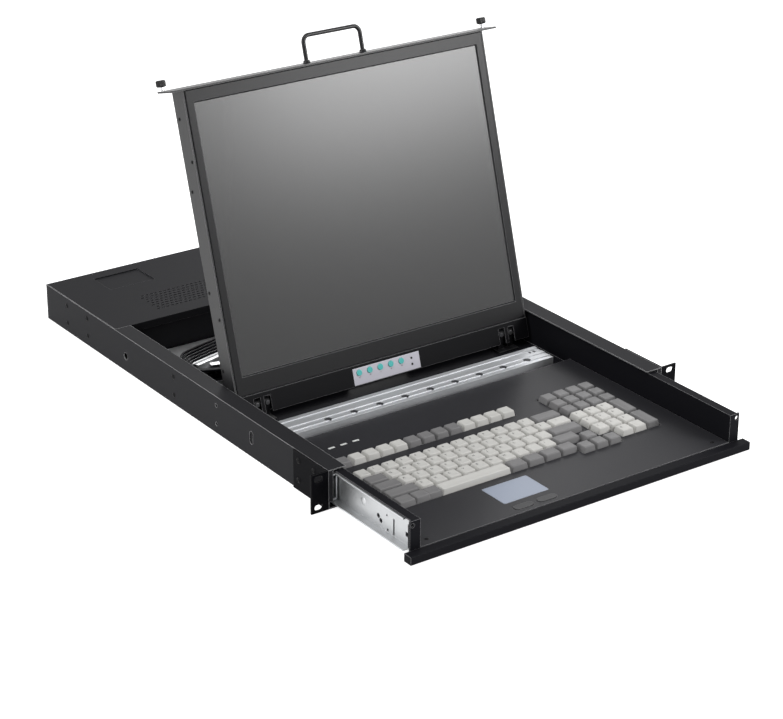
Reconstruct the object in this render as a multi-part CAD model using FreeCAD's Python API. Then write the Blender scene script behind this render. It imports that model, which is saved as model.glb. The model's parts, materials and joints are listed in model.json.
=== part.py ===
import FreeCAD, Part
import math
import os

# Rackmount LCD console drawer, 1U, millimetres, +Z up, front towards -Y.
# Everything is built with z = 0 on the underside of the chassis.  save() then lowers each
# sub-part by half the chassis height, so the origin of the finished part is the centre of
# the rack hole pattern, on the front face of the ears.

Vec = FreeCAD.Vector

# ---------------------------------------------------------------- rack and chassis
rack_width = 482.6
rack_hole_spacing = 465.1
rack_hole_rise = 31.75
chassis_height = 43.6
chassis_width = 441.0
chassis_depth = 600.0
sheet = 1.2
bay_depth = 165.0
top_flange = 21.0
front_flange = 5.6
front_flange_foot = 8.0
ear_thickness = 2.0
ear_leg = 62.0
ear_slot_length = 10.0
ear_slot_width = 6.6
plate_gap = 0.2
wall_holes = [(411.0, 19.0, 4.2), (215.0, 33.0, 2.2), (215.0, 11.0, 2.2)]
wall_screws = [(550.0, 33.0), (550.0, 11.0), (501.0, 34.0), (501.0, 12.0), (305.0, 33.0), (305.0, 11.0)]
wall_screw_radius = 3.0
wall_screw_height = 1.0
wall_slot_y = 145.0
wall_slot_width = 6.0
wall_slot_bottom = 15.0
wall_slot_top = 30.0
ear_screws = [(52.0, 34.0), (52.0, 12.0), (24.0, 34.0), (24.0, 12.0)]
ear_screw_radius = 3.2
ear_screw_height = 1.3

# ---------------------------------------------------------------- telescopic slides
slide_travel = 131.0
slide_room = 16.3
slide_height = 36.0
slide_bottom = 3.3
slide_sheet = 1.4
slide_gap = 0.4
slide_lip = 10.6
middle_lip = 9.6
middle_gap = 1.6
chassis_lip_gap = 2.6
chassis_slide_length = 352.0
chassis_slide_start = 4.0
middle_slide_length = 350.0
middle_slide_start = 6.0
drawer_slide_setback = 12.5
drawer_slide_tail = 2.0
# holes in the web of the drawer member: (behind its front, height, radius)
web_holes = [(67.1, 16.2, 2.6), (62.8, 12.4, 2.6), (52.6, 22.7, 1.2)]
# windows in the same web: (behind its front, height, length, rise)
web_windows = [(51.1, 7.2, 2.6, 2.6), (40.7, 14.4, 2.4, 18.0), (18.5, 16.0, 5.0, 5.0)]
middle_stop_radius = 4.0
middle_stop_inset = 10.0
middle_window_start = 22.0
middle_window_length = 38.0
middle_window_rise = 10.0

# ---------------------------------------------------------------- rear deck
deck_apron = 9.0
vent_rows = 8
vent_columns = 17
vent_pitch_x = 6.1
vent_pitch_y = 6.2
vent_length = 4.2
vent_width = 2.0
vent_first_x = -150.0
vent_first_y = 459.0
recess_x = -136.0
recess_y = 562.0
recess_length = 60.0
recess_width = 41.0
recess_drop = 1.4

# ---------------------------------------------------------------- drawer tray
tray_front = -slide_travel
tray_length = 359.0
tray_clearance = 1.0
tray_wall_top = 41.0
tray_flange = 9.0
tray_rear_wall = 20.0
tray_cable_gap = 80.0
tray_cable_sill = 6.0
lip_overhang = 1.0
lip_depth = 9.0
lip_top = 9.4
lip_foot = 0.6

# ---------------------------------------------------------------- keyboard
cover_top = 10.0
cover_length = 264.0
cover_rail = 8.0
key_pitch = 17.8
key_gap = 0.8
key_top = 16.0
key_height = 9.0
key_taper = 1.7
key_front_taper = 1.1
key_base = 0.9
opening_gap = 0.7
keys_centre_x = -0.6
main_front = -56.7
arrow_drop = 7.9
main_columns = 15
nav_columns = 4
key_rows = 7
nav_gap = 6.2

pad_width = 57.0
pad_depth = 38.0
pad_centre_x = -51.5
pad_centre_y = -88.0
pad_corner = 2.0
pad_sink = 0.8
button_length = 24.0
button_width = 9.0
button_gap = 9.0
button_spacing = 30.0
button_rise = 0.6
button_height = 3.2
corner_screw_inset = 16.0
corner_screw_setback = 10.0
corner_screw_radius = 2.6
corner_screw_height = 0.6
led_first_x = -151.0
led_y = 98.0
led_pitch = 15.5
led_count = 3
led_length = 7.6
led_width = 2.6
led_rise = 0.3
led_depth = 1.5
loose = 0.1

# ---------------------------------------------------------------- cross bar behind the keys
bar_width = 366.0
bar_setback = 8.0
bar_depth = 35.0
bar_top = 15.0
bar_sheet = 1.5
bar_rib = 0.7
bar_hole_radius = 4.7
bar_hole_pitch = 34.0
bar_hole_count = 9
bar_first_hole = -119.0
bar_hole_depth = 0.9
bar_slot_places = [168.5, 174.5]
bar_slot_width = 3.0
bar_slot_length = 5.0
bar_slot_setback = 22.5
bar_hole_setback = 10.5

# ---------------------------------------------------------------- screen
hinge_setback = 15.0
hinge_z = 23.24
lean = 16.3
bezel_forward = 6.2
bezel_rise = 12.3
bezel_side = 10.0
bezel_head = 14.4
bezel_thickness = 2.0
bezel_gap = 0.8
bezel_slope = 1.4
bezel_round = 0.8
housing_room = 4.3
housing_edge = 2.5
lcd_thickness = 25.0
lcd_wall = 1.8
lcd_round = 2.0
# screws in the side of the housing: (height, depth from the hinge axis)
lcd_screws = [(315.0, 11.0), (269.0, 0.0), (237.0, 11.0), (127.0, 13.0), (98.0, 1.0), (41.0, 13.0)]
lcd_screw_radius = 2.2
lcd_screw_height = 0.8
view_height = 296.4
view_rise = 21.4
panel_thickness = 12.0
panel_margin = 6.0
seam = 0.3

knuckle_width = 6.5
knuckle_radius = 4.5
knuckle_pitch = 13.0
hinge_x = 166.5
pin_radius = 1.6
notch_gap = 1.0
bracket_width = 28.0
bracket_front = 12.0
bracket_rear = 11.0
bracket_sheet = 2.0
pin_overhang = 1.2
post_screw_radius = 2.5
post_screw_height = 1.4
leaf_width = 32.0
leaf_sheet = 1.6
leaf_rear = 12.0
leaf_neck = 6.0

osd_drop = 12.0
osd_sheet = 1.5
osd_shelf = 16.0
osd_label_width = 90.0
osd_label_height = 19.0
osd_label_x = -3.0
osd_label_z = -1.5
osd_label_thickness = 0.6
osd_button_count = 5
osd_button_pitch = 14.25
osd_button_inset = 8.0
osd_button_z = 2.5
osd_button_radius = 3.4
osd_button_rise = 0.9
osd_led_radius = 1.3
osd_led_pitch = 7.0
osd_window_inset = 1.5

# ---------------------------------------------------------------- front panel and handle
front_margin = 3.0
front_corner = 1.5
front_thickness = 2.0
front_below = 5.0
front_above = 25.5
handle_span = 74.0
handle_height = 30.0
handle_radius = 2.4
handle_bend = 8.0
ferrule_radius = 4.2
ferrule_height = 3.2
ferrule_taper = 0.85
thumb_outset = 8.0
thumb_clearance = 0.3
thumb_rise = 19.0
thumb_radius = 5.4
thumb_height = 7.2
thumb_standoff = 4.5
thumb_shank = 2.1
thumb_ridges = 20
thumb_ridge_depth = 0.5
thumb_chamfer = 0.7
end_plate = 2.0
end_plate_reach = 11.4
end_plate_foot = 5.0
slide_stop_width = 5.0
slide_stop_foot = 5.5
slide_stop_top = 31.0

# ---------------------------------------------------------------- cable arm
arm_length = 310.0
arm_pivot_x = 128.9
arm_rear_setback = 31.0
arm_front_reach = 26.5
arm_width = 24.0
arm_sheet = 1.2
arm_bottom = 8.0
arm_height = 17.5
arm_far_wall = 5.0
arm_flange = 7.0
arm_step = 1.6
arm_end = 11.0
arm_offset = 1.0
arm_overhang = 1.4
arm_eye_room = 4.6
arm_pin_tip = 1.0
arm_pin_clearance = 0.3
arm_lug_radius = 7.5
arm_pin_radius = 2.0
arm_open_radius = 3.6
arm_plate_width = 380.0
arm_plate_length = 62.0
arm_plate_gap = 1.0
cable_radius = 2.6
cable_count = 3
cable_room = 0.5
cable_lift = 0.2
cable_end = 3.0

# ---------------------------------------------------------------- rear connectors
vga_pitch = 34.2
vga_first_x = 48.2
vga_count = 8
vga_z = 15.0
link_vga_x = 124.0
link_vga_z = 32.2
vga_screw_spacing = 24.99
jackscrew_radius = 2.75
jackscrew_length = 5.0
vga_lean = 10.0
vga_corner = 0.16
vga_opening = 0.5
vga_shell_wall = 0.4
vga_flange_sheet = 0.8
vga_insert_gap = 0.2
vga_insert_drop = 0.6
vga_shell_width = 16.9
vga_shell_height = 8.3
vga_shell_reach = 5.8
vga_flange_width = 30.8
vga_flange_height = 12.5
vga_body_depth = 13.0
din_spacing = 19.2
din_z = 14.4
din_radius = 5.65
din_collar = 6.7
din_rim = 0.9
din_hub = 2.0
din_stand = 0.8
din_depth = 5.0
din_length = 12.0
din_hub_drop = 0.6
din_back_gap = 1.0
inlet_offset = 7.2
inlet_z = 22.3
inlet_width = 15.7
inlet_height = 22.7
inlet_depth = 16.0
inlet_chamfer = 4.0
# blades of the inlet: (across, up) from its centre
inlet_blades = [(-3.5, 0.0), (2.0, 7.0), (2.0, -7.0)]
blade_width = 4.0
blade_height = 2.0
blade_recess = 3.0
module_x = 181.3
module_width = 41.0
module_height = 29.7
module_depth = 30.0
module_bezel = 2.0
module_rim = 2.2
module_corner = 1.5
panel_hole_rim = 2.0
rocker_offset = 8.2
rocker_width = 11.6
rocker_height = 14.6
rocker_tilt = 9.0
rocker_depth = 3.5
rocker_side_gap = 0.4
rocker_end_gap = 1.2
rocker_pocket = 9.0
rocker_pin_radius = 1.0
rocker_pin_reach = 0.35
board_top = 7.4
board_sheet = 1.6
board_depth = 105.0
board_inset = 14.0
board_rear_gap = 1.0
standoff_radius = 3.2
standoff_inset = 10.0
standoff_front = 8.0
standoff_rear = 29.0

# ---------------------------------------------------------------- worked-out places
bay_front = chassis_depth - bay_depth
wall_inside = chassis_width / 2 - sheet
flange_edge = chassis_width / 2 - top_flange
mid_height = chassis_height / 2
tray_bottom = sheet + tray_clearance
tray_floor = tray_bottom + sheet
tray_half = wall_inside - slide_room
tray_rear = tray_front + tray_length
lip_width = chassis_width + 2 * lip_overhang
thumb_x = tray_half + thumb_outset
front_width = 2 * (thumb_x + front_margin)
cover_bottom = cover_top - sheet
cover_rear = tray_front + cover_length
bar_front = cover_rear + bar_setback
hinge_y = tray_rear - hinge_setback
main_left = keys_centre_x - ((main_columns + nav_columns) * key_pitch + nav_gap) / 2
nav_left = main_left + main_columns * key_pitch + nav_gap
button_y = pad_centre_y - pad_depth / 2 - button_gap - button_width / 2
key_bottom = key_top - key_height
lcd_width = 2 * (tray_half - sheet - housing_room)
bezel_width = lcd_width - 2 * housing_edge
bezel_height = view_rise + view_height + bezel_head
view_width = bezel_width - 2 * bezel_side
lcd_top = bezel_rise + bezel_height + bezel_gap - seam
lcd_bottom = bezel_rise - 2 * seam
view_bottom = bezel_rise + view_rise
bezel_face = -bezel_forward
lcd_back = bezel_face + lcd_thickness
front_face = lcd_top + seam + front_thickness
arm_rear_pivot_y = bay_front - arm_rear_setback
arm_front_pivot_y = tray_rear + arm_front_reach
arm_rest_angle = math.degrees(math.asin((arm_rear_pivot_y - arm_front_pivot_y) / 2 / arm_length))
elbow_x = arm_pivot_x - arm_length * math.cos(math.radians(arm_rest_angle))
elbow_y = (arm_rear_pivot_y + arm_front_pivot_y) / 2
inlet_x = module_x + inlet_offset
rocker_x = module_x - rocker_offset


# ---------------------------------------------------------------- small helpers
def box(x0, x1, y0, y1, z0, z1):
    return Part.makeBox(x1 - x0, y1 - y0, z1 - z0, Vec(x0, y0, z0))


def rod_x(radius, x0, x1, y, z):
    return Part.makeCylinder(radius, x1 - x0, Vec(x0, y, z), Vec(1, 0, 0))


def rod_y(radius, x, y0, y1, z):
    return Part.makeCylinder(radius, y1 - y0, Vec(x, y0, z), Vec(0, 1, 0))


def rod_z(radius, x, y, z0, z1):
    return Part.makeCylinder(radius, z1 - z0, Vec(x, y, z0), Vec(0, 0, 1))


def slot_z(length, width, x, y, z0, z1):
    # an upright slot with round ends, long in X
    half = (length - width) / 2
    bar = box(x - half, x + half, y - width / 2, y + width / 2, z0, z1)
    return bar.fuse([rod_z(width / 2, x - half, y, z0, z1), rod_z(width / 2, x + half, y, z0, z1)])


def slot_y(length, width, x, y0, y1, z):
    # a slot with round ends through a plate that faces Y, long in X
    half = (length - width) / 2
    bar = box(x - half, x + half, y0, y1, z - width / 2, z + width / 2)
    return bar.fuse([rod_y(width / 2, x - half, y0, y1, z), rod_y(width / 2, x + half, y0, y1, z)])


def prism(points, direction):
    wire = Part.makePolygon([Vec(*p) for p in points + points[:1]])
    return Part.Face(wire).extrude(Vec(*direction))


def frustum(foot, head):
    # a flat-sided solid between two rings of corners that run the same way round
    sides = [[foot[i - 1], foot[i], head[i], head[i - 1]] for i in range(len(foot))]
    faces = [Part.Face(Part.makePolygon(ring + ring[:1])) for ring in [foot, head] + sides]
    solid = Part.Solid(Part.Shell(faces))
    if solid.Volume < 0:
        solid.reverse()
    return solid


def join(shapes):
    return shapes[0].fuse(shapes[1:]).removeSplitter()


def mirrored(shape):
    return shape.mirror(Vec(0, 0, 0), Vec(1, 0, 0))


def both_sides(shapes):
    return shapes + [mirrored(shape) for shape in shapes]


def save(name, shapes):
    solids = [solid for shape in shapes for solid in shape.Solids]
    whole = Part.makeCompound(solids)
    whole.translate(Vec(0, 0, -mid_height))
    whole.exportStep("parts/" + name + ".step")


def tilted(shapes):
    # from the screen's own upright frame (hinge axis through its origin) to where it stands
    for shape in shapes:
        shape.rotate(Vec(0, 0, 0), Vec(1, 0, 0), -lean)
        shape.translate(Vec(0, hinge_y, hinge_z))
    return shapes


def screw_head(x, y, z, radius, height):
    # the head of a pan screw on a wall that faces +X
    return rod_x(radius, x, x + height, y, z)


# ---------------------------------------------------------------- chassis sheet metal
def chassis_pan():
    half = chassis_width / 2
    floor = box(-half, half, 0, chassis_depth - sheet, 0, sheet)
    wall = box(half - sheet, half, 0, chassis_depth - sheet, 0, chassis_height)
    flange = box(flange_edge, half, 0, bay_front, chassis_height - sheet, chassis_height)
    front = box(half - front_flange, half, 0, sheet, front_flange_foot, chassis_height)
    pan = join([floor] + both_sides([wall, flange, front]))
    cuts = [rod_x(radius, -half - 1, half + 1, y, z) for y, z, radius in wall_holes]
    end = wall_slot_width / 2
    cuts.append(box(-half - 1, half + 1, wall_slot_y - end, wall_slot_y + end,
                    wall_slot_bottom + end, wall_slot_top - end))
    for z in (wall_slot_bottom + end, wall_slot_top - end):
        cuts.append(rod_x(end, -half - 1, half + 1, wall_slot_y, z))
    return pan.cut(cuts)


def rear_deck():
    half = wall_inside - plate_gap
    top = chassis_height
    plate = box(-half, half, bay_front, chassis_depth - sheet, top - sheet, top)
    apron = box(-half, half, bay_front, bay_front + sheet, top - deck_apron, top)
    x0, x1 = recess_x - recess_length / 2, recess_x + recess_length / 2
    y0, y1 = recess_y - recess_width / 2, recess_y + recess_width / 2
    dish = box(x0 - sheet, x1 + sheet, y0 - sheet, y1 + sheet, top - recess_drop - sheet, top - sheet / 2)
    deck = join([plate, apron, dish]).cut(box(x0, x1, y0, y1, top - recess_drop, top + 1))
    slots = []
    for row in range(vent_rows):
        stagger = vent_pitch_x / 2 * (row % 2)
        for column in range(vent_columns):
            x = vent_first_x + stagger + column * vent_pitch_x
            y = vent_first_y + row * vent_pitch_y
            slots.append(box(x, x + vent_length, y, y + vent_width, top - sheet - 1, top + 1))
    return deck.cut(Part.makeCompound(slots))


def bay_front_wall():
    half = wall_inside - plate_gap
    y = bay_front + sheet + plate_gap
    wall = box(-half, half, y, y + sheet, sheet, chassis_height - sheet)
    lug_z = arm_bottom - arm_step
    reach = box(arm_pivot_x - arm_lug_radius, arm_pivot_x + arm_lug_radius,
                arm_rear_pivot_y, y, lug_z, lug_z + arm_sheet)
    eye = rod_z(arm_lug_radius, arm_pivot_x, arm_rear_pivot_y, lug_z, lug_z + arm_sheet)
    pin = rod_z(arm_pin_radius, arm_pivot_x, arm_rear_pivot_y, lug_z,
                arm_bottom + arm_sheet + arm_pin_tip)
    return join([wall, reach, eye, pin])


def arm_support_plate():
    half = arm_plate_width / 2
    y1 = bay_front - arm_plate_gap
    return box(-half, half, y1 - arm_plate_length, y1, sheet, 2 * sheet)


def vga_outline(x, z, width, height, y0, y1):
    # the slanted "D": wide side up, ends leaning in, corners cut off
    lean_in = math.tan(math.radians(vga_lean)) * height
    points = [
        (x - width / 2, y0, z + height / 2), (x + width / 2, y0, z + height / 2),
        (x + width / 2 - lean_in, y0, z - height / 2), (x - width / 2 + lean_in, y0, z - height / 2)]
    shape = prism(points, (0, y1 - y0, 0))
    edges = [e for e in shape.Edges if abs(e.tangentAt(e.FirstParameter).y) > 0.99]
    return shape.makeChamfer(height * vga_corner, edges)


vga_places = [(vga_first_x - i * vga_pitch, vga_z) for i in range(vga_count)]
vga_places.append((link_vga_x, link_vga_z))
din_places = [link_vga_x + din_spacing / 2, link_vga_x - din_spacing / 2]


def rear_panel():
    half = chassis_width / 2
    y0, y1 = chassis_depth - sheet, chassis_depth
    panel = box(-half, half, y0, y1, 0, chassis_height)
    grown = 2 * vga_opening
    cuts = [vga_outline(x, z, vga_shell_width + grown, vga_shell_height + grown, y0 - 1, y1 + 1)
            for x, z in vga_places]
    cuts += [rod_y(din_collar + plate_gap, x, y0 - 1, y1 + 1, din_z) for x in din_places]
    across = module_width / 2 - panel_hole_rim
    up = module_height / 2 - panel_hole_rim
    cuts.append(box(module_x - across, module_x + across, y0 - 1, y1 + 1, inlet_z - up, inlet_z + up))
    return panel.cut(cuts)


def rack_ear():
    # right-hand ear; the left one mirrors it
    inside = chassis_width / 2
    face = box(inside, rack_width / 2, 0, ear_thickness, 0, chassis_height)
    leg = box(inside, inside + ear_thickness, 0, ear_leg, 0, chassis_height)
    ear = join([face, leg])
    for side in (-1, 1):
        z = mid_height + side * rack_hole_rise / 2
        ear = ear.cut(slot_y(ear_slot_length, ear_slot_width, rack_hole_spacing / 2,
                             -1, ear_thickness + 1, z))
    return ear


def chassis_screws():
    wall = chassis_width / 2
    screws = [screw_head(wall, y, z, wall_screw_radius, wall_screw_height) for y, z in wall_screws]
    for y, z in ear_screws:
        screws.append(screw_head(wall + ear_thickness, y, z, ear_screw_radius, ear_screw_height))
    return both_sides(screws)


# ---------------------------------------------------------------- slides
def channel(x_web, reach, z0, z1, y0, y1):
    # a C section with its web at x_web and lips that reach in the direction of sign(reach)
    t = math.copysign(slide_sheet, reach)
    web = box(min(x_web, x_web + t), max(x_web, x_web + t), y0, y1, z0, z1)
    low, high = min(x_web, x_web + reach), max(x_web, x_web + reach)
    shape = join([
        web, box(low, high, y0, y1, z0, z0 + slide_sheet), box(low, high, y0, y1, z1 - slide_sheet, z1)])
    bends = [
        e for e in shape.Edges
        if e.Length > abs(y1 - y0) - 1 and abs(e.BoundBox.XMin - x_web) < 0.01]
    return shape.makeFillet(slide_sheet * 0.9, bends)


nest = slide_sheet + slide_gap
slide_top = slide_bottom + slide_height
slide_middle = slide_bottom + slide_height / 2


def through_web(y, z, length, rise):
    x0, x1 = tray_half - 1, tray_half + slide_sheet + 1
    return box(x0, x1, y - length / 2, y + length / 2, z - rise / 2, z + rise / 2)


def drawer_slide():
    y0, y1 = tray_front + drawer_slide_setback, tray_rear - drawer_slide_tail
    slide = channel(tray_half, slide_lip, slide_bottom, slide_top, y0, y1)
    cuts = [rod_x(radius, tray_half - 1, tray_half + slide_sheet + 1, tray_front + y, z)
            for y, z, radius in web_holes]
    cuts += [through_web(tray_front + y, z, length, rise) for y, z, length, rise in web_windows]
    return slide.cut(cuts)


def middle_slide():
    y0, y1 = middle_slide_start, middle_slide_start + middle_slide_length
    web = tray_half + slide_sheet + middle_gap
    slide = channel(web, middle_lip, slide_bottom + nest, slide_top - nest, y0, y1)
    outer = web + slide_sheet
    stop = rod_x(middle_stop_radius, outer, outer + middle_gap, y0 + middle_stop_inset, slide_middle)
    near = y0 + middle_window_start
    window = box(web - 1, outer + 1, near, near + middle_window_length,
                 slide_middle - middle_window_rise / 2, slide_middle + middle_window_rise / 2)
    return join([slide, stop]).cut(window)


def chassis_slide():
    y0, y1 = chassis_slide_start, chassis_slide_start + chassis_slide_length
    reach = tray_half + 2 * slide_sheet + chassis_lip_gap - wall_inside
    return channel(wall_inside, reach, slide_bottom + 2 * nest, slide_top - 2 * nest, y0, y1)


# ---------------------------------------------------------------- drawer
def tray_pan():
    floor = box(-tray_half, tray_half, tray_front, tray_rear, tray_bottom, tray_floor)
    wall = box(tray_half - sheet, tray_half, tray_front, tray_rear, tray_bottom, tray_wall_top)
    flange = box(tray_half, tray_half + tray_flange, tray_front, tray_rear,
                 tray_wall_top - sheet, tray_wall_top)
    front = box(-tray_half, tray_half, tray_front, tray_front + sheet, tray_bottom, cover_bottom)
    rear = box(-tray_half, tray_half, tray_rear - sheet, tray_rear, tray_bottom, tray_rear_wall)
    end = box(tray_half - sheet, tray_half + end_plate_reach, tray_front, tray_front + end_plate,
              end_plate_foot, tray_wall_top)
    stop = box(tray_half - sheet, tray_half + slide_stop_width, tray_front,
               tray_front + drawer_slide_setback - plate_gap, slide_stop_foot, slide_stop_top)
    reach = box(arm_pivot_x - arm_lug_radius, arm_pivot_x + arm_lug_radius, tray_rear - sheet,
                arm_front_pivot_y, arm_bottom, arm_bottom + arm_sheet)
    eye = rod_z(arm_lug_radius, arm_pivot_x, arm_front_pivot_y, arm_bottom, arm_bottom + arm_sheet)
    pin = rod_z(arm_pin_radius, arm_pivot_x, arm_front_pivot_y, arm_bottom,
                arm_bottom + arm_step + arm_sheet + arm_pin_tip)
    pan = join([floor, front, rear, reach, eye, pin] + both_sides([wall, flange, end, stop]))
    thumb_z = hinge_z - bezel_forward + thumb_rise
    cuts = [rod_y(thumb_shank + thumb_clearance, side * thumb_x, tray_front - 1,
                  tray_front + end_plate + 1, thumb_z) for side in (-1, 1)]
    half = tray_cable_gap / 2
    cuts.append(box(-half, half, tray_rear - 2 * sheet, tray_rear + 1,
                    tray_floor + tray_cable_sill, tray_rear_wall + 1))
    return pan.cut(cuts)


def front_lip():
    half = lip_width / 2
    y1 = tray_front - 2 * plate_gap
    y0 = y1 - lip_depth - 2 * sheet
    top = box(-half, half, y0, y1, lip_top - sheet, lip_top)
    face = box(-half, half, y0, y0 + sheet, lip_foot, lip_top)
    rear = box(-tray_half, tray_half, y1 - sheet, y1, tray_bottom, lip_top)
    end = box(half - sheet, half, y0, y1, lip_foot, lip_top)
    lip = join([top, face, rear] + both_sides([end]))
    brow = [e for e in lip.Edges if abs(e.BoundBox.YMin - y0) < 0.01 and abs(e.BoundBox.YMax - y0) < 0.01
            and abs(e.BoundBox.ZMin - lip_top) < 0.01 and e.Length > half]
    return lip.makeFillet(sheet * 0.7, brow)


# ---------------------------------------------------------------- keyboard
# Each key is (column, row, width, depth) in key pitches; row 0 is the front row.
def run(start, row, widths):
    keys = []
    column = start
    for width in widths:
        keys.append((column, row, width, 1))
        column += width
    return keys


bottom_left = run(0, 0, [1.25, 0.875, 0.875])
space = run(3, 0, [5])
bottom_right = run(8, 0, [1.25, 1.25, 1.25, 1.25])
shift_left = run(0, 1, [2.25])
lower = run(2.25, 1, [1] * 10)
shift_right = run(12.25, 1, [1.75])
caps = run(0, 2, [1.75])
home = run(1.75, 2, [1] * 11)
enter = run(12.75, 2, [2.25])
tab = run(0, 3, [1.5])
upper = run(1.5, 3, [1] * 12 + [1.5])
numbers = run(0, 4, [1] * 13)
backspace = run(13, 4, [2])
function_dark = run(0, 6, [1]) + run(5, 6, [1] * 4)
function_light = run(1, 6, [1] * 4) + run(9, 6, [1] * 4)
arrows = run(13, 0, [1, 1, 1]) + run(14, 1, [1])
nav_rows = [(column, row, 1, 1) for row in (4, 5, 6) for column in range(4)]
pad_tall = [(3, 2, 1, 2), (3, 0, 1, 2)]
numpad_light = [(column, row, 1, 1) for row in (1, 2, 3) for column in range(3)]
numpad_light += [(1, 0, 1, 1), (2, 0, 1, 1)]

key_groups = {
    "keys_function_dark": (function_dark, "main"),
    "keys_function_light": (function_light, "main"),
    "keys_number_row": (numbers, "main"),
    "keys_upper_row": (upper, "main"),
    "keys_home_row": (home, "main"),
    "keys_lower_row": (lower, "main"),
    "keys_modifiers": (backspace + tab + caps + enter + shift_left + shift_right, "main"),
    "keys_bottom_row": (bottom_left + bottom_right, "main"),
    "space_bar": (space, "main"),
    "keys_arrows": (arrows, "arrow"),
    "keys_navigation": (nav_rows + pad_tall, "nav"),
    "keys_numpad": (numpad_light, "nav"),
}


def key_cell(key, zone):
    column, row, width, depth = key
    left = nav_left if zone == "nav" else main_left
    front = main_front - (arrow_drop if zone == "arrow" else 0)
    x0 = left + column * key_pitch
    y0 = front + row * key_pitch
    return x0, x0 + width * key_pitch, y0, y0 + depth * key_pitch


def key_cap(key, zone):
    x0, x1, y0, y1 = key_cell(key, zone)
    gap = key_gap / 2
    foot = [Vec(x0 + gap, y0 + gap, key_bottom), Vec(x1 - gap, y0 + gap, key_bottom),
            Vec(x1 - gap, y1 - gap, key_bottom), Vec(x0 + gap, y1 - gap, key_bottom)]
    side = gap + key_taper
    brow = y0 + gap + key_front_taper
    head = [Vec(x0 + side, brow, key_top), Vec(x1 - side, brow, key_top),
            Vec(x1 - side, y1 - side, key_top), Vec(x0 + side, y1 - side, key_top)]
    return frustum(foot, head)


def key_openings():
    # one opening per block of keys, following the rows
    grow = opening_gap - key_gap / 2
    cells = []
    for keys, zone in key_groups.values():
        for key in keys:
            x0, x1, y0, y1 = key_cell(key, zone)
            cells.append(box(x0 - grow, x1 + grow, y0 - grow, y1 + grow, cover_bottom - 1, cover_top + 1))
    return join(cells)


def button_places():
    return [pad_centre_x - button_spacing / 2, pad_centre_x + button_spacing / 2]


def corner_screw_places():
    x = tray_half - corner_screw_inset
    y = tray_front + corner_screw_setback
    return [(-x, y), (x, y)]


def led_places():
    return [(led_first_x + i * led_pitch, led_y) for i in range(led_count)]


def light(x, y, room, z0, z1):
    across, along = led_length / 2 + room, led_width / 2 + room
    return box(x - across, x + across, y - along, y + along, z0, z1)


def keyboard_cover():
    half = tray_half - sheet - 2 * plate_gap
    y0 = tray_front + sheet + plate_gap
    top = box(-half, half, tray_front, cover_rear, cover_bottom, cover_top)
    rear = box(-half, half, cover_rear - sheet, cover_rear, tray_floor, cover_top)
    rail = box(half - 1 - cover_rail, half - 1, y0, cover_rear, tray_floor, cover_bottom)
    across, along = pad_width / 2 + plate_gap, pad_depth / 2 + plate_gap
    seat = box(pad_centre_x - across, pad_centre_x + across, pad_centre_y - along, pad_centre_y + along,
               cover_top - pad_sink, cover_top + 1)
    cuts = [key_openings(), seat]
    room = 2 * (plate_gap + loose)
    for x in button_places():
        cuts.append(slot_z(button_length + room, button_width + room, x, button_y,
                           cover_bottom - 1, cover_top + 1))
    for x, y in led_places():
        cuts.append(light(x, y, loose, cover_bottom - 1, cover_top + 1))
    return join([top, rear] + both_sides([rail])).cut(cuts)


def keyboard_base():
    x1 = nav_left + nav_columns * key_pitch
    y0 = main_front - arrow_drop
    y1 = main_front + key_rows * key_pitch
    return box(main_left, x1, y0, y1, tray_floor, tray_floor + key_base)


def status_lights():
    return [light(x, y, 0, cover_bottom - led_depth, cover_top + led_rise) for x, y in led_places()]


def cover_screws():
    return [rod_z(corner_screw_radius, x, y, cover_top, cover_top + corner_screw_height)
            for x, y in corner_screw_places()]


def touchpad():
    x0, y0 = pad_centre_x - pad_width / 2, pad_centre_y - pad_depth / 2
    pad = box(x0, x0 + pad_width, y0, y0 + pad_depth, cover_top - pad_sink, cover_top + led_rise)
    upright = [e for e in pad.Edges if e.BoundBox.ZLength > 1]
    return pad.makeFillet(pad_corner, upright)


def touchpad_button(x):
    top = cover_top + button_rise
    return slot_z(button_length, button_width, x, button_y, top - button_height, top).removeSplitter()


def cross_bar():
    # a ribbed channel, open downwards, standing on its two legs
    y0, y1, t = bar_front, bar_front + bar_depth, bar_sheet
    top = bar_top
    half = bar_width / 2
    rib = bar_rib
    steps = [6.0, 15.5, 21.0, 29.0]
    profile = [(y0, tray_floor), (y0, top - rib), (y0 + steps[0], top - rib), (y0 + steps[0], top),
               (y0 + steps[0] + 2, top), (y0 + steps[0] + 2, top - rib),
               (y0 + steps[1], top - rib), (y0 + steps[1], top), (y0 + steps[2], top),
               (y0 + steps[2], top - rib), (y0 + steps[3], top - rib), (y0 + steps[3], top), (y1, top),
               (y1, tray_floor), (y1 - t, tray_floor), (y1 - t, top - rib - t),
               (y0 + t, top - rib - t), (y0 + t, tray_floor)]
    bar = prism([(-half, y, z) for y, z in profile], (bar_width, 0, 0))
    cuts = [rod_z(bar_hole_radius, bar_first_hole + i * bar_hole_pitch, y0 + bar_hole_setback,
                  top - rib - bar_hole_depth, top + 1) for i in range(bar_hole_count)]
    for x in bar_slot_places:
        cuts.append(box(x - bar_slot_width / 2, x + bar_slot_width / 2, y0 + bar_slot_setback,
                        y0 + bar_slot_setback + bar_slot_length, top - rib - bar_hole_depth, top + 1))
    return bar.cut(cuts)


def hinge_posts():
    return [hinge_x - knuckle_pitch / 2, hinge_x + knuckle_pitch / 2]


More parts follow.
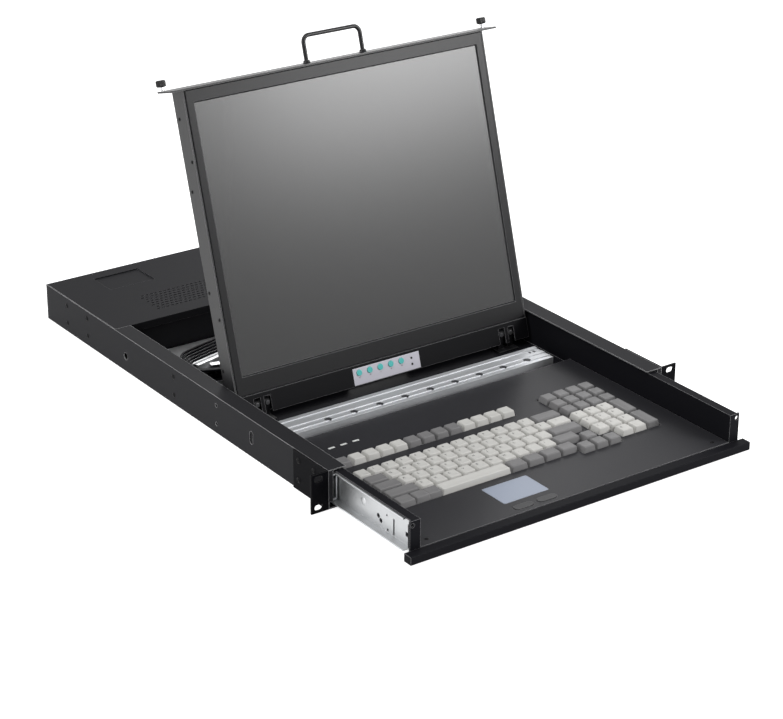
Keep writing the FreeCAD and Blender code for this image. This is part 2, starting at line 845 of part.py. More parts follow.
def hinge_bracket():
    foot = box(hinge_x - bracket_width / 2, hinge_x + bracket_width / 2, hinge_y - bracket_front,
               hinge_y + bracket_rear, tray_floor, tray_floor + bracket_sheet)
    parts = [foot]
    for x in hinge_posts():
        x0, x1 = x - knuckle_width / 2, x + knuckle_width / 2
        parts.append(box(x0, x1, hinge_y - knuckle_radius, hinge_y + knuckle_radius, tray_floor, hinge_z))
        parts.append(rod_x(knuckle_radius, x0, x1, hinge_y, hinge_z))
    bracket = join(parts)
    return bracket.cut(rod_x(pin_radius, hinge_x - bracket_width, hinge_x + bracket_width, hinge_y, hinge_z))


def hinge_pins():
    reach = knuckle_pitch / 2 + knuckle_width / 2 + pin_overhang
    parts = [rod_x(pin_radius, hinge_x - reach, hinge_x + reach, hinge_y, hinge_z)]
    face = hinge_y - knuckle_radius
    for x in hinge_posts():
        parts.append(rod_y(post_screw_radius, x, face - post_screw_height, face, hinge_z))
    return both_sides(parts)


# ---------------------------------------------------------------- screen, in its own frame
def lcd_housing():
    half = lcd_width / 2
    outer = box(-half, half, bezel_face + bezel_thickness / 2, lcd_back, lcd_bottom, lcd_top)
    back_edges = [e for e in outer.Edges if e.BoundBox.YMin > lcd_back - 0.01]
    outer = outer.makeFillet(lcd_round, back_edges)
    w = lcd_wall
    inner = box(-half + w, half - w, bezel_face - 1, lcd_back - w, lcd_bottom + w, lcd_top - w)
    side = bezel_width / 2 + bezel_gap
    mouth = box(-side, side, bezel_face - 1, bezel_face + bezel_thickness, lcd_bottom - 1, lcd_top + 1)
    return outer.cut([inner, mouth])


def lcd_bezel():
    half = bezel_width / 2
    frame = box(-half, half, bezel_face, bezel_face + bezel_thickness, bezel_rise, bezel_rise + bezel_height)
    rim = [e for e in frame.Edges if e.BoundBox.YMax < bezel_face + 0.01]
    frame = frame.makeFillet(bezel_round, rim)
    slope = bezel_slope
    w, z0, z1 = view_width / 2, view_bottom, view_bottom + view_height
    back = bezel_face + bezel_thickness
    near = [Vec(-w - slope, bezel_face, z0 - slope), Vec(w + slope, bezel_face, z0 - slope),
            Vec(w + slope, bezel_face, z1 + slope), Vec(-w - slope, bezel_face, z1 + slope)]
    far = [Vec(-w, back, z0), Vec(w, back, z0), Vec(w, back, z1), Vec(-w, back, z1)]
    return frame.cut(frustum(near, far))


def lcd_screen():
    half = view_width / 2 + panel_margin
    y0 = bezel_face + bezel_thickness
    return box(-half, half, y0, y0 + panel_thickness, view_bottom - panel_margin,
               view_bottom + view_height + panel_margin)


def osd_plate():
    half = lcd_width / 2
    y0, y1 = bezel_face, bezel_face + osd_shelf
    top = lcd_bottom - seam
    leg = box(-half, half, y0, y0 + osd_sheet, -osd_drop, top)
    shelf = box(-half, half, y0, y1, top - osd_sheet, top)
    plate = join([leg, shelf])
    notch = knuckle_width / 2 + notch_gap
    for x in hinge_posts():
        for side in (-1, 1):
            plate = plate.cut(box(side * x - notch, side * x + notch, y0 - 1, y0 + osd_sheet + 0.1,
                                  -osd_drop - 1, knuckle_radius + 2))
    across = osd_label_width / 2 - osd_window_inset
    up = osd_label_height / 2 - osd_window_inset
    window = box(osd_label_x - across, osd_label_x + across, y0 - 1, y0 + osd_sheet + 1,
                 osd_label_z - up, osd_label_z + up)
    return plate.cut(window)


def osd_button_places():
    first = osd_label_x - osd_label_width / 2 + osd_button_inset
    return [first + i * osd_button_pitch for i in range(osd_button_count)]


def osd_led_places():
    x = osd_button_places()[-1] + osd_button_pitch
    return [(x, osd_button_z), (x, osd_button_z - osd_led_pitch)]


def osd_label():
    y1 = bezel_face
    y0 = y1 - osd_label_thickness
    x0, z0 = osd_label_x - osd_label_width / 2, osd_label_z - osd_label_height / 2
    label = box(x0, x0 + osd_label_width, y0, y1, z0, z0 + osd_label_height)
    for x in osd_button_places():
        label = label.cut(rod_y(osd_button_radius + plate_gap, x, y0 - 1, y1 + 1, osd_button_z))
    for x, z in osd_led_places():
        label = label.cut(rod_y(osd_led_radius + loose, x, y0 - 1, y1 + 1, z))
    return label


def osd_buttons():
    y0 = bezel_face - osd_label_thickness - osd_button_rise
    y1 = bezel_face + osd_sheet
    return [rod_y(osd_button_radius, x, y0, y1, osd_button_z) for x in osd_button_places()]


def osd_lights():
    y0 = bezel_face - osd_label_thickness - led_rise
    return [rod_y(osd_led_radius, x, y0, bezel_face + osd_sheet, z) for x, z in osd_led_places()]


def hinge_leaf():
    top = lcd_bottom - seam - osd_sheet
    inner = knuckle_pitch - knuckle_width - 2 * seam
    barrel = rod_x(knuckle_radius, hinge_x - inner / 2, hinge_x + inner / 2, 0, 0)
    web = box(hinge_x - inner / 2, hinge_x + inner / 2, -leaf_neck / 2, leaf_neck / 2, 0, top)
    leaf = box(hinge_x - leaf_width / 2, hinge_x + leaf_width / 2, bezel_face + osd_sheet + 2 * plate_gap,
               leaf_rear, top - leaf_sheet, top)
    shape = join([barrel, web, leaf])
    return shape.cut(rod_x(pin_radius + loose, hinge_x - leaf_width, hinge_x + leaf_width, 0, 0))


def lcd_side_screws():
    heads = [screw_head(lcd_width / 2, y, z, lcd_screw_radius, lcd_screw_height) for z, y in lcd_screws]
    return both_sides(heads)


def front_panel():
    half = front_width / 2
    y0, y1 = bezel_face - front_below, bezel_face + front_above
    z0 = lcd_top + seam
    panel = box(-half, half, y0, y1, z0, z0 + front_thickness)
    corners = [e for e in panel.Edges if e.BoundBox.ZLength > 1]
    panel = panel.makeFillet(front_corner, corners)
    for side in (-1, 1):
        panel = panel.cut(rod_z(thumb_shank + thumb_clearance, side * thumb_x, bezel_face + thumb_rise,
                                z0 - 1, z0 + front_thickness + 1))
    return panel


def bend(x, z, toward):
    # a quarter bend of the handle from (x, z) upwards, ending handle_bend further towards the middle
    r = handle_bend
    mid = r * (1 - math.sqrt(0.5))
    low = Vec(x, 0, z)
    high = Vec(x + toward * r, 0, z + r)
    return Part.Arc(low, Vec(x + toward * mid, 0, z + r - mid), high).toShape()


def handle():
    half, start = handle_span / 2, front_face
    shoulder = start + handle_height - handle_bend
    crown = start + handle_height
    rise = Part.makeLine(Vec(-half, 0, start), Vec(-half, 0, shoulder))
    top = Part.makeLine(Vec(-half + handle_bend, 0, crown), Vec(half - handle_bend, 0, crown))
    fall = Part.makeLine(Vec(half, 0, shoulder), Vec(half, 0, start))
    path = Part.Wire([rise, bend(-half, shoulder, 1), top, bend(half, shoulder, -1), fall])
    ring = Part.Wire(Part.makeCircle(handle_radius, Vec(-half, 0, start), Vec(0, 0, 1)))
    grip = path.makePipeShell([ring], True, False)
    collars = [Part.makeCone(ferrule_radius, ferrule_radius * ferrule_taper, ferrule_height,
                             Vec(side * half, 0, start)) for side in (-1, 1)]
    return join([grip] + collars)


def thumbscrew():
    # captive screw, sprung out: the ridged knob stands off the panel on its shank
    x, y = thumb_x, bezel_face + thumb_rise
    z0 = front_face + thumb_standoff
    shank = rod_z(thumb_shank, x, y, lcd_top + seam, z0 + 1)
    core = rod_z(thumb_radius - thumb_ridge_depth - thumb_chamfer / 2, x, y, z0, z0 + thumb_height)
    star = []
    for i in range(2 * thumb_ridges):
        radius = thumb_radius - thumb_ridge_depth * (i % 2)
        turn = math.pi * i / thumb_ridges
        star.append((x + radius * math.cos(turn), y + radius * math.sin(turn), z0 + thumb_chamfer))
    ridges = prism(star, (0, 0, thumb_height - 2 * thumb_chamfer))
    return join([core, ridges, shank])


# ---------------------------------------------------------------- cable arm
def arm_link(length, z0, side, far_hole, overhang):
    # a tray-shaped link along +X from its first pivot; its channel lies to one side of the pivot line
    t, h = arm_sheet, arm_height
    near = side * arm_offset
    far = side * (arm_offset + arm_width)
    x0, x1 = arm_end, length - arm_end

    def slab(x_low, x_high, y_from, y_to, z_low, z_high):
        return box(x_low, x_high, min(y_from, y_to), max(y_from, y_to), z_low, z_high)

    parts = [
        slab(x0, x1, near, far, z0, z0 + t),
        slab(x0, x1, near, near + side * t, z0, z0 + h),
        slab(x0, x1, far, far - side * t, z0, z0 + arm_far_wall),
        slab(x0, x1 + overhang, near, near + side * arm_flange, z0 + h - t, z0 + h),
        slab(0, length, 0, side * arm_lug_radius, z0, z0 + t),
        rod_z(arm_lug_radius, 0, 0, z0, z0 + t),
        rod_z(arm_lug_radius, length, 0, z0, z0 + t)]
    if overhang > 0:
        parts.append(slab(x1 - 1, x1 + overhang, near, near + side * t, z0 + arm_eye_room, z0 + h))
    pivot = rod_z(arm_pin_radius + arm_pin_clearance, 0, 0, z0 - 1, z0 + t + 1)
    return join(parts).cut([pivot, rod_z(far_hole, length, 0, z0 - 1, z0 + t + 1)])


def place_link(shape, x, y, angle):
    shape.rotate(Vec(0, 0, 0), Vec(0, 0, 1), angle)
    shape.translate(Vec(x, y, 0))
    return shape


def cables(length, z0, side):
    runs = []
    room = arm_width - 2 * arm_sheet - 2 * cable_radius - 2 * cable_room
    pitch = room / (cable_count - 1)
    x0, x1 = arm_end + cable_end, length - arm_end - cable_end
    z = z0 + arm_sheet + cable_radius + cable_lift
    # the upper cables lie in the hollows between the lower ones
    apart = 2 * cable_radius + cable_lift
    hollow = math.sqrt(max(apart ** 2 - (pitch / 2) ** 2, 0))
    for i in range(cable_count):
        y = side * (arm_offset + arm_sheet + cable_room + cable_radius + i * pitch)
        runs.append(rod_x(cable_radius, x0, x1, y, z))
        if i < cable_count - 1:
            between = y + side * pitch / 2
            runs.append(rod_x(cable_radius, x0 + cable_end, x1 - cable_end, between, z + hollow))
    return runs


def rear_link():
    # its near wall carries on above the front link's eye, past the elbow
    elbow_pin = rod_z(arm_pin_radius, arm_length, 0, arm_bottom,
                      arm_bottom + arm_step + arm_sheet + arm_pin_tip)
    link = arm_link(arm_length, arm_bottom, -1, arm_pin_radius / 2, arm_end + arm_overhang)
    return place_link(join([link, elbow_pin]), arm_pivot_x, arm_rear_pivot_y, 180 + arm_rest_angle)


def front_link():
    link = arm_link(arm_length, arm_bottom + arm_step, -1, arm_open_radius, 0)
    return place_link(link, elbow_x, elbow_y, -arm_rest_angle)


# ---------------------------------------------------------------- rear bay
def bay_board():
    # the board stands on six-sided pillars
    half = wall_inside - board_inset
    y1 = chassis_depth - sheet - board_rear_gap
    parts = [box(-half, half, y1 - board_depth, y1, board_top - board_sheet, board_top)]
    for x in (-half + standoff_inset, 0, half - standoff_inset):
        for y in (y1 - board_depth + standoff_front, y1 - standoff_rear):
            parts.append(six_sided(standoff_radius, Vec(x, y, sheet),
                                   Vec(0, 0, board_top - board_sheet - sheet)))
    return join(parts)


def six_sided(radius, base, along):
    # a hexagonal bar from base; along points up or to the rear
    ring = []
    for i in range(6):
        a, b = radius * math.cos(math.pi * i / 3), radius * math.sin(math.pi * i / 3)
        offset = Vec(a, b, 0) if along.z else Vec(a, 0, b)
        ring.append(tuple(base + offset))
    return prism(ring, tuple(along))


def vga_shells():
    parts = []
    back = chassis_depth - sheet - vga_flange_sheet
    front = chassis_depth + vga_shell_reach
    for x, z in vga_places:
        plate = box(x - vga_flange_width / 2, x + vga_flange_width / 2, back, chassis_depth - sheet,
                    z - vga_flange_height / 2, z + vga_flange_height / 2)
        shell = vga_outline(x, z, vga_shell_width, vga_shell_height, back, front)
        thinner = 2 * vga_shell_wall
        bore = vga_outline(x, z, vga_shell_width - thinner, vga_shell_height - thinner, back - 1, front + 1)
        parts.append(join([plate, shell]).cut(bore))
        for side in (-1, 1):
            place = Vec(x + side * vga_screw_spacing / 2, chassis_depth, z)
            parts.append(six_sided(jackscrew_radius, place, Vec(0, jackscrew_length, 0)))
    return parts


def vga_inserts():
    parts = []
    back = chassis_depth - sheet - vga_flange_sheet
    thinner = 2 * (vga_shell_wall + vga_insert_gap)
    for x, z in vga_places:
        face = vga_outline(x, z, vga_shell_width - thinner, vga_shell_height - thinner, back,
                           chassis_depth + vga_shell_reach - vga_insert_drop)
        bottom = board_top if z < mid_height else z - vga_flange_height / 2
        body = box(x - vga_flange_width / 2, x + vga_flange_width / 2, back - vga_body_depth, back,
                   bottom, z + vga_flange_height / 2)
        parts.append(join([face, body]))
    return parts


def mini_din(x):
    y0, y1 = chassis_depth - din_length, chassis_depth + din_stand
    ring = rod_y(din_collar, x, y0, y1, din_z)
    socket = rod_y(din_radius - din_rim, x, y1 - din_depth, y1 + 1, din_z)
    hub = rod_y(din_radius - din_hub, x, y1 - din_depth, y1 - din_hub_drop, din_z)
    foot = box(x - din_collar, x + din_collar, y0, chassis_depth - sheet - din_back_gap, board_top, din_z)
    return join([ring, foot]).cut(socket).fuse(hub).removeSplitter()


def power_inlet():
    across, up, y = module_width / 2, module_height / 2, chassis_depth
    bezel = box(module_x - across, module_x + across, y, y + module_bezel, inlet_z - up, inlet_z + up)
    upright = [e for e in bezel.Edges if e.BoundBox.YLength > 1]
    bezel = bezel.makeFillet(module_corner, upright)
    rim = module_rim
    body = box(module_x - across + rim, module_x + across - rim, y - module_depth, y,
               inlet_z - up + rim, inlet_z + up - rim)
    w, h, c = inlet_width / 2, inlet_height / 2, inlet_chamfer
    corners = [(-w, -h), (-w, h), (w - c, h), (w, h - c), (w, -h + c), (w - c, -h)]
    outline = [(inlet_x + dx, y - inlet_depth, inlet_z + dz) for dx, dz in corners]
    socket = prism(outline, (0, inlet_depth + module_bezel + 1, 0))
    side = rocker_width / 2 + rocker_side_gap
    end = rocker_height / 2 + rocker_end_gap
    pocket = box(rocker_x - side, rocker_x + side, y - rocker_pocket, y + module_bezel + 1,
                 inlet_z - end, inlet_z + end)
    return join([bezel, body]).cut([socket, pocket])


def inlet_pins():
    w, h = blade_width / 2, blade_height / 2
    y0, y1 = chassis_depth - inlet_depth, chassis_depth - blade_recess
    return [box(inlet_x + dx - w, inlet_x + dx + w, y0, y1,
                inlet_z + dz - h, inlet_z + dz + h) for dx, dz in inlet_blades]


def rocker():
    # a rocker on a pivot along X, at rest with its upper half pressed in
    y = chassis_depth - rocker_depth
    half = rocker_height / 2
    x0, x1 = rocker_x - rocker_width / 2, rocker_x + rocker_width / 2
    profile = [(0, -2.0), (-half + 0.6, 3.0), (-half, 6.6), (0, 5.4), (half, 6.6), (half - 0.6, 3.0)]
    body = prism([(x0, y + d, inlet_z + z) for z, d in profile], (rocker_width, 0, 0))
    pivot = rod_x(rocker_pin_radius, x0 - rocker_pin_reach, x1 + rocker_pin_reach, y, inlet_z)
    shape = join([body, pivot])
    shape.rotate(Vec(rocker_x, y, inlet_z), Vec(1, 0, 0), rocker_tilt)
    return shape


# ---------------------------------------------------------------- the assembly
def main():
    os.makedirs("parts", exist_ok=True)

    save("chassis_pan", [chassis_pan()])
    save("rear_deck", [rear_deck()])
    save("bay_front_wall", [bay_front_wall()])
    save("arm_support_plate", [arm_support_plate()])
    save("rear_panel", [rear_panel()])
    ear = rack_ear()
    save("rack_ear_right", [ear])
    save("rack_ear_left", [mirrored(ear)])
    save("chassis_screws", chassis_screws())

    save("slide_chassis_members", both_sides([chassis_slide()]))
    middle = middle_slide()
    save("slide_middle_right", [middle])
    save("slide_middle_left", [mirrored(middle)])
    save("slide_drawer_members", both_sides([drawer_slide()]))

    save("tray_pan", [tray_pan()])
    save("front_lip", [front_lip()])
    save("keyboard_cover", [keyboard_cover()])
    save("keyboard_base", [keyboard_base()])
    save("status_lights", status_lights())
    save("cover_screws", cover_screws())
    save("touchpad", [touchpad()])
    for name, x in zip(("touchpad_button_left", "touchpad_button_right"), button_places()):
        save(name, [touchpad_button(x)])
    for name, (keys, zone) in key_groups.items():
        save(name, [key_cap(key, zone) for key in keys])
    save("cross_bar", [cross_bar()])
    save("hinge_brackets", both_sides([hinge_bracket()]))
    save("hinge_pins", hinge_pins())

    save("lcd_housing", tilted([lcd_housing()]))
    save("lcd_bezel", tilted([lcd_bezel()]))
    save("lcd_screen", tilted([lcd_screen()]))
    save("osd_plate", tilted([osd_plate()]))
    save("osd_label", tilted([osd_label()]))
    save("osd_buttons", tilted(osd_buttons()))
    save("osd_lights", tilted(osd_lights()))
    save("hinge_leaves", tilted(both_sides([hinge_leaf()])))
    save("lcd_side_screws", tilted(lcd_side_screws()))
    save("front_panel", tilted([front_panel()]))
    save("handle", tilted([handle()]))
    knob = thumbscrew()
    save("thumbscrew_right", tilted([knob.copy()]))
    save("thumbscrew_left", tilted([mirrored(knob)]))

    save("arm_rear_link", [rear_link()])
    save("arm_front_link", [front_link()])
    save("rear_link_cables", [place_link(c, arm_pivot_x, arm_rear_pivot_y, 180 + arm_rest_angle)
                              for c in cables(arm_length, arm_bottom, -1)])
    save("front_link_cables", [place_link(c, elbow_x, elbow_y, -arm_rest_angle)
                               for c in cables(arm_length, arm_bottom + arm_step, -1)])

    save("bay_board", [bay_board()])
    save("port_metalwork", vga_shells() + inlet_pins())
    save("vga_inserts", vga_inserts())
    save("keyboard_port", [mini_din(din_places[0])])
    save("mouse_port", [mini_din(din_places[1])])
    save("power_inlet", [power_inlet()])
    save("rocker_switch", [rocker()])


main()
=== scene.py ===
import json
import math

import bmesh
import bpy
from mathutils import Matrix, Vector


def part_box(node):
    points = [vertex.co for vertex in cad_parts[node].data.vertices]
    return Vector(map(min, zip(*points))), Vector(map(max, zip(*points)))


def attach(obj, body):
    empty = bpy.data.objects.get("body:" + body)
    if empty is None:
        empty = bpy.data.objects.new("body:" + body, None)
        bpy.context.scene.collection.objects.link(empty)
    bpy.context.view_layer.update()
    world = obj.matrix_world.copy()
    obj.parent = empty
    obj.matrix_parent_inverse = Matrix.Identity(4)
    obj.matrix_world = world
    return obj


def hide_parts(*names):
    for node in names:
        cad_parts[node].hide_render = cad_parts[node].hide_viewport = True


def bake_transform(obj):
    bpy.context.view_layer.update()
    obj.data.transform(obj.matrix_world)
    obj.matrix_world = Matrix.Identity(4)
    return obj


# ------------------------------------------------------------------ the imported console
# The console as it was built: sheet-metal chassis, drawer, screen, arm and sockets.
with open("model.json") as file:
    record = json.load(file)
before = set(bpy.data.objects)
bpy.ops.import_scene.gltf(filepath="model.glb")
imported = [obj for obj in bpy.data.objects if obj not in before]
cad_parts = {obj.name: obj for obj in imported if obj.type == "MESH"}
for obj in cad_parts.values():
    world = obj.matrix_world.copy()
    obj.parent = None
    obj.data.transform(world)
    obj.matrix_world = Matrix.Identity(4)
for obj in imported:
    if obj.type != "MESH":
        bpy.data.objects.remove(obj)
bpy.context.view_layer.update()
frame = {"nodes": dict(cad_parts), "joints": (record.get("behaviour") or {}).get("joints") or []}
cad = frame["nodes"]
mm = 0.001
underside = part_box("chassis_pan")[0].z

# ------------------------------------------------------------------ view
# A long lens, in front of the drawer on its left side, looking down on the keyboard.
view_azimuth = math.radians(-35.47)
view_height = math.radians(24.05)
view_roll = math.radians(0.26)
view_place = Vector((-1.396, -1.7575, 1.0872))
sensor = 36.0
view_lens = 108.77
view_reach = 50.0

back = Vector((math.sin(view_azimuth) * math.cos(view_height),
               -math.cos(view_azimuth) * math.cos(view_height), math.sin(view_height)))
level = Vector((math.cos(view_azimuth), math.sin(view_azimuth), 0.0))
upright = back.cross(level)
across = level * math.cos(view_roll) + upright * math.sin(view_roll)
upward = upright * math.cos(view_roll) - level * math.sin(view_roll)

bpy.ops.object.camera_add(location=view_place)
camera = bpy.context.object
camera.name = "view"
view_turn = Matrix((across, upward, back)).transposed().to_4x4()
camera.matrix_world = Matrix.Translation(view_place) @ view_turn
camera.data.sensor_width = sensor
camera.data.lens = view_lens
camera.data.clip_end = view_reach
bpy.context.scene.camera = camera
bpy.context.scene.view_settings.view_transform = "Standard"

# ------------------------------------------------------------------ studio
# A pale sweep of floor under the console and soft lamps, at a level where paint keeps
# the colour it was mixed to.
floor_size = 8.0
floor_grey = (0.9, 0.9, 0.9, 1.0)
floor_roughness = 0.9
floor_shine = 0.1
floor_glow = 0.66
surround_level = 0.34


def blank_material(name):
    made = bpy.data.materials.new(name)
    made.use_nodes = True
    return made, made.node_tree.nodes, made.node_tree.links, made.node_tree.nodes["Principled BSDF"]


def seen_directly(nodes, links):
    # 1 where a camera, glossy or transmission ray arrives, 0 for light that falls on things
    path = nodes.new("ShaderNodeLightPath")
    first = nodes.new("ShaderNodeMath")
    first.operation = "MAXIMUM"
    both = nodes.new("ShaderNodeMath")
    both.operation = "MAXIMUM"
    links.new(path.outputs["Is Camera Ray"], first.inputs[0])
    links.new(path.outputs["Is Glossy Ray"], first.inputs[1])
    links.new(first.outputs[0], both.inputs[0])
    links.new(path.outputs["Is Transmission Ray"], both.inputs[1])
    return both.outputs[0]


world = bpy.data.worlds.new("surround")
bpy.context.scene.world = world
world.use_nodes = True
air = world.node_tree.nodes
strength = air.new("ShaderNodeMix")
strength.inputs["A"].default_value = surround_level
strength.inputs["B"].default_value = 1.0
world.node_tree.links.new(seen_directly(air, world.node_tree.links), strength.inputs["Factor"])
world.node_tree.links.new(strength.outputs["Result"], air["Background"].inputs["Strength"])
air["Background"].inputs["Color"].default_value = (1.0, 1.0, 1.0, 1.0)

bpy.ops.object.select_all(action="DESELECT")
bpy.ops.mesh.primitive_plane_add(size=floor_size, location=(0.0, 0.0, underside))
floor = bpy.context.object
floor.name = "floor"
floor_paint, nodes, links, shader = blank_material("floor_paint")
shader.inputs["Base Color"].default_value = floor_grey
shader.inputs["Roughness"].default_value = floor_roughness
shader.inputs["Specular IOR Level"].default_value = floor_shine
glow = nodes.new("ShaderNodeMath")
glow.operation = "MULTIPLY"
glow.inputs[1].default_value = floor_glow
links.new(seen_directly(nodes, links), glow.inputs[0])
links.new(glow.outputs[0], shader.inputs["Emission Strength"])
shader.inputs["Emission Color"].default_value = (1.0, 1.0, 1.0, 1.0)
floor.data.materials.append(floor_paint)


def soft_lamp(name, place, target, size, power):
    bpy.ops.object.light_add(type="AREA", location=place)
    lamp = bpy.context.object
    lamp.name = name
    lamp.data.size = size
    lamp.data.energy = power
    lamp.rotation_euler = (Vector(place) - Vector(target)).to_track_quat("Z", "Y").to_euler()


main_lamp_power = 28.0
side_lamp_power = 16.0
screen_lamp_power = 35.0
rear_lamp_power = 7.0
soft_lamp("main_lamp", (-0.7, 0.1, 2.4), (0.0, 0.1, 0.0), 1.5, main_lamp_power)
soft_lamp("side_lamp", (-2.0, 0.5, 0.8), (-0.2, 0.2, 0.1), 1.2, side_lamp_power)
soft_lamp("screen_lamp", (1.46, -1.62, 1.02), (0.0, 0.3, 0.2), 0.8, screen_lamp_power)
soft_lamp("rear_lamp", (0.70, 1.25, 0.90), (-0.15, -0.05, 0.0), 0.5, rear_lamp_power)

# ------------------------------------------------------------------ chassis sheet metal
# Folded steel with a fine black powder coat: pan, deck, bay wall, rear panel and ears.
# The coat is slightly pebbled, and is painted a paler grey on the outer bends: partly wear where the coat
# thins, partly a painted highlight standing in for light on the rounded bends.
coat_black = (0.016, 0.016, 0.018, 1.0)
# paler grey for the outer edges of the coats: partly wear, partly a painted highlight
coat_wear_and_edge_highlight = (0.30, 0.30, 0.31, 1.0)
coat_pebble = 0.9 * mm
coat_relief = 0.05 * mm
bend_radius = 0.8 * mm
edge_starts_at = 0.99
edge_full_at = 0.84
roughness_spread = 0.07
smooth_limit = math.radians(35)


def make_grain_group():
    # pebbled surface with softened edges; also gives where the outer edges lie
    group = bpy.data.node_groups.new("fine_grain", "ShaderNodeTree")
    face = group.interface
    for label, start in (("Size", 0.001), ("Relief", 0.0001), ("Edge", 0.0006)):
        socket = face.new_socket(name=label, in_out="INPUT", socket_type="NodeSocketFloat")
        socket.default_value = start
    face.new_socket(name="Normal", in_out="OUTPUT", socket_type="NodeSocketVector")
    face.new_socket(name="Grain", in_out="OUTPUT", socket_type="NodeSocketFloat")
    face.new_socket(name="Edge Mask", in_out="OUTPUT", socket_type="NodeSocketFloat")
    nodes, links = group.nodes, group.links
    given = nodes.new("NodeGroupInput")
    result = nodes.new("NodeGroupOutput")
    place = nodes.new("ShaderNodeTexCoord")
    count = nodes.new("ShaderNodeMath")
    count.operation = "DIVIDE"
    count.inputs[0].default_value = 1.0
    noise = nodes.new("ShaderNodeTexNoise")
    noise.inputs["Detail"].default_value = 2.0
    round_edge = nodes.new("ShaderNodeBevel")
    round_edge.samples = 6
    relief = nodes.new("ShaderNodeBump")
    relief.inputs["Strength"].default_value = 1.0
    geometry = nodes.new("ShaderNodeNewGeometry")
    agree = nodes.new("ShaderNodeVectorMath")
    agree.operation = "DOT_PRODUCT"
    spread = nodes.new("ShaderNodeMapRange")
    spread.inputs["From Min"].default_value = edge_starts_at
    spread.inputs["From Max"].default_value = edge_full_at
    links.new(given.outputs["Size"], count.inputs[1])
    links.new(place.outputs["Object"], noise.inputs["Vector"])
    links.new(count.outputs[0], noise.inputs["Scale"])
    links.new(given.outputs["Edge"], round_edge.inputs["Radius"])
    links.new(noise.outputs["Fac"], relief.inputs["Height"])
    links.new(given.outputs["Relief"], relief.inputs["Distance"])
    links.new(round_edge.outputs["Normal"], relief.inputs["Normal"])
    links.new(round_edge.outputs["Normal"], agree.inputs[0])
    links.new(geometry.outputs["Normal"], agree.inputs[1])
    links.new(agree.outputs["Value"], spread.inputs["Value"])
    links.new(relief.outputs["Normal"], result.inputs["Normal"])
    links.new(noise.outputs["Fac"], result.inputs["Grain"])
    links.new(spread.outputs["Result"], result.inputs["Edge Mask"])
    return group


grain_group = make_grain_group()


def grained(name, colour, edge_colour, roughness, specular, size, relief, edge=bend_radius):
    made, nodes, links, shader = blank_material(name)
    grain = nodes.new("ShaderNodeGroup")
    grain.node_tree = grain_group
    grain.inputs["Size"].default_value = size
    grain.inputs["Relief"].default_value = relief
    grain.inputs["Edge"].default_value = edge
    # the edge colour is mixed in along the outer edges: a painted highlight where rounded edges catch
    # light, and on the painted coats also wear
    tint = nodes.new("ShaderNodeMix")
    tint.data_type = "RGBA"
    tint.inputs["A"].default_value = colour
    tint.inputs["B"].default_value = edge_colour
    dull = nodes.new("ShaderNodeMapRange")
    dull.inputs["To Min"].default_value = roughness - roughness_spread
    dull.inputs["To Max"].default_value = roughness + roughness_spread
    links.new(grain.outputs["Edge Mask"], tint.inputs["Factor"])
    links.new(tint.outputs["Result"], shader.inputs["Base Color"])
    links.new(grain.outputs["Grain"], dull.inputs["Value"])
    links.new(dull.outputs["Result"], shader.inputs["Roughness"])
    links.new(grain.outputs["Normal"], shader.inputs["Normal"])
    shader.inputs["Specular IOR Level"].default_value = specular
    return made


def join_pieces(pieces, name):
    # several separate meshes become one named piece, in the order given
    bpy.ops.object.select_all(action="DESELECT")
    for piece in pieces:
        piece.select_set(True)
    bpy.context.view_layer.objects.active = pieces[0]
    if len(pieces) > 1:
        bpy.ops.object.join()
    joined = bpy.context.view_layer.objects.active
    joined.name = name
    return joined


def coat_piece(piece, material):
    piece.data.materials.clear()
    piece.data.materials.append(material)


def smooth_round_sides():
    # the active piece is shaded smooth, with its real corners kept sharp
    bpy.ops.object.shade_smooth_by_angle(angle=smooth_limit)


def soften_corners(piece, width):
    soften = piece.modifiers.new("soften", "BEVEL")
    soften.width = width
    soften.segments = 2
    bpy.ops.object.modifier_apply(modifier="soften")


def dress(material, *names):
    for name in names:
        coat_piece(cad[name], material)


pan_bend = 1.0 * mm
deck_bend = 0.4 * mm
chassis_coat = grained("chassis_coat", (0.022, 0.022, 0.024, 1.0), (0.50, 0.50, 0.51, 1.0), 0.48, 0.03,
                       coat_pebble, coat_relief, pan_bend)
dress(chassis_coat, "chassis_pan")
deck_coat = grained("deck_coat", coat_black, (0.16, 0.16, 0.17, 1.0), 0.48, 0.03, coat_pebble,
                    coat_relief,
                    deck_bend)
dress(deck_coat, "rear_deck", "bay_front_wall", "rear_panel")
ear_coat = grained("ear_coat", (0.003, 0.003, 0.004, 1.0), (0.04, 0.04, 0.04, 1.0), 0.45, 0.02,
                   coat_pebble, coat_relief)
dress(ear_coat, "rack_ear_left", "rack_ear_right")

# ------------------------------------------------------------------ plated steel
# Slides, arm and arm plate are pressed from zinc-plated strip, and the bar, pins and
# socket shells are plated too. Faint cloudy patches, and rolling lines along each strip.
zinc_bright = (0.74, 0.75, 0.76, 1.0)
zinc_edge = (0.92, 0.92, 0.93, 1.0)
streak_stretch = 0.02
patch_shade = 0.84
duller, brighter = 0.12, 0.1
plating_grain = 0.4 * mm
plating_relief = 0.01 * mm
plating_edge = 0.35 * mm


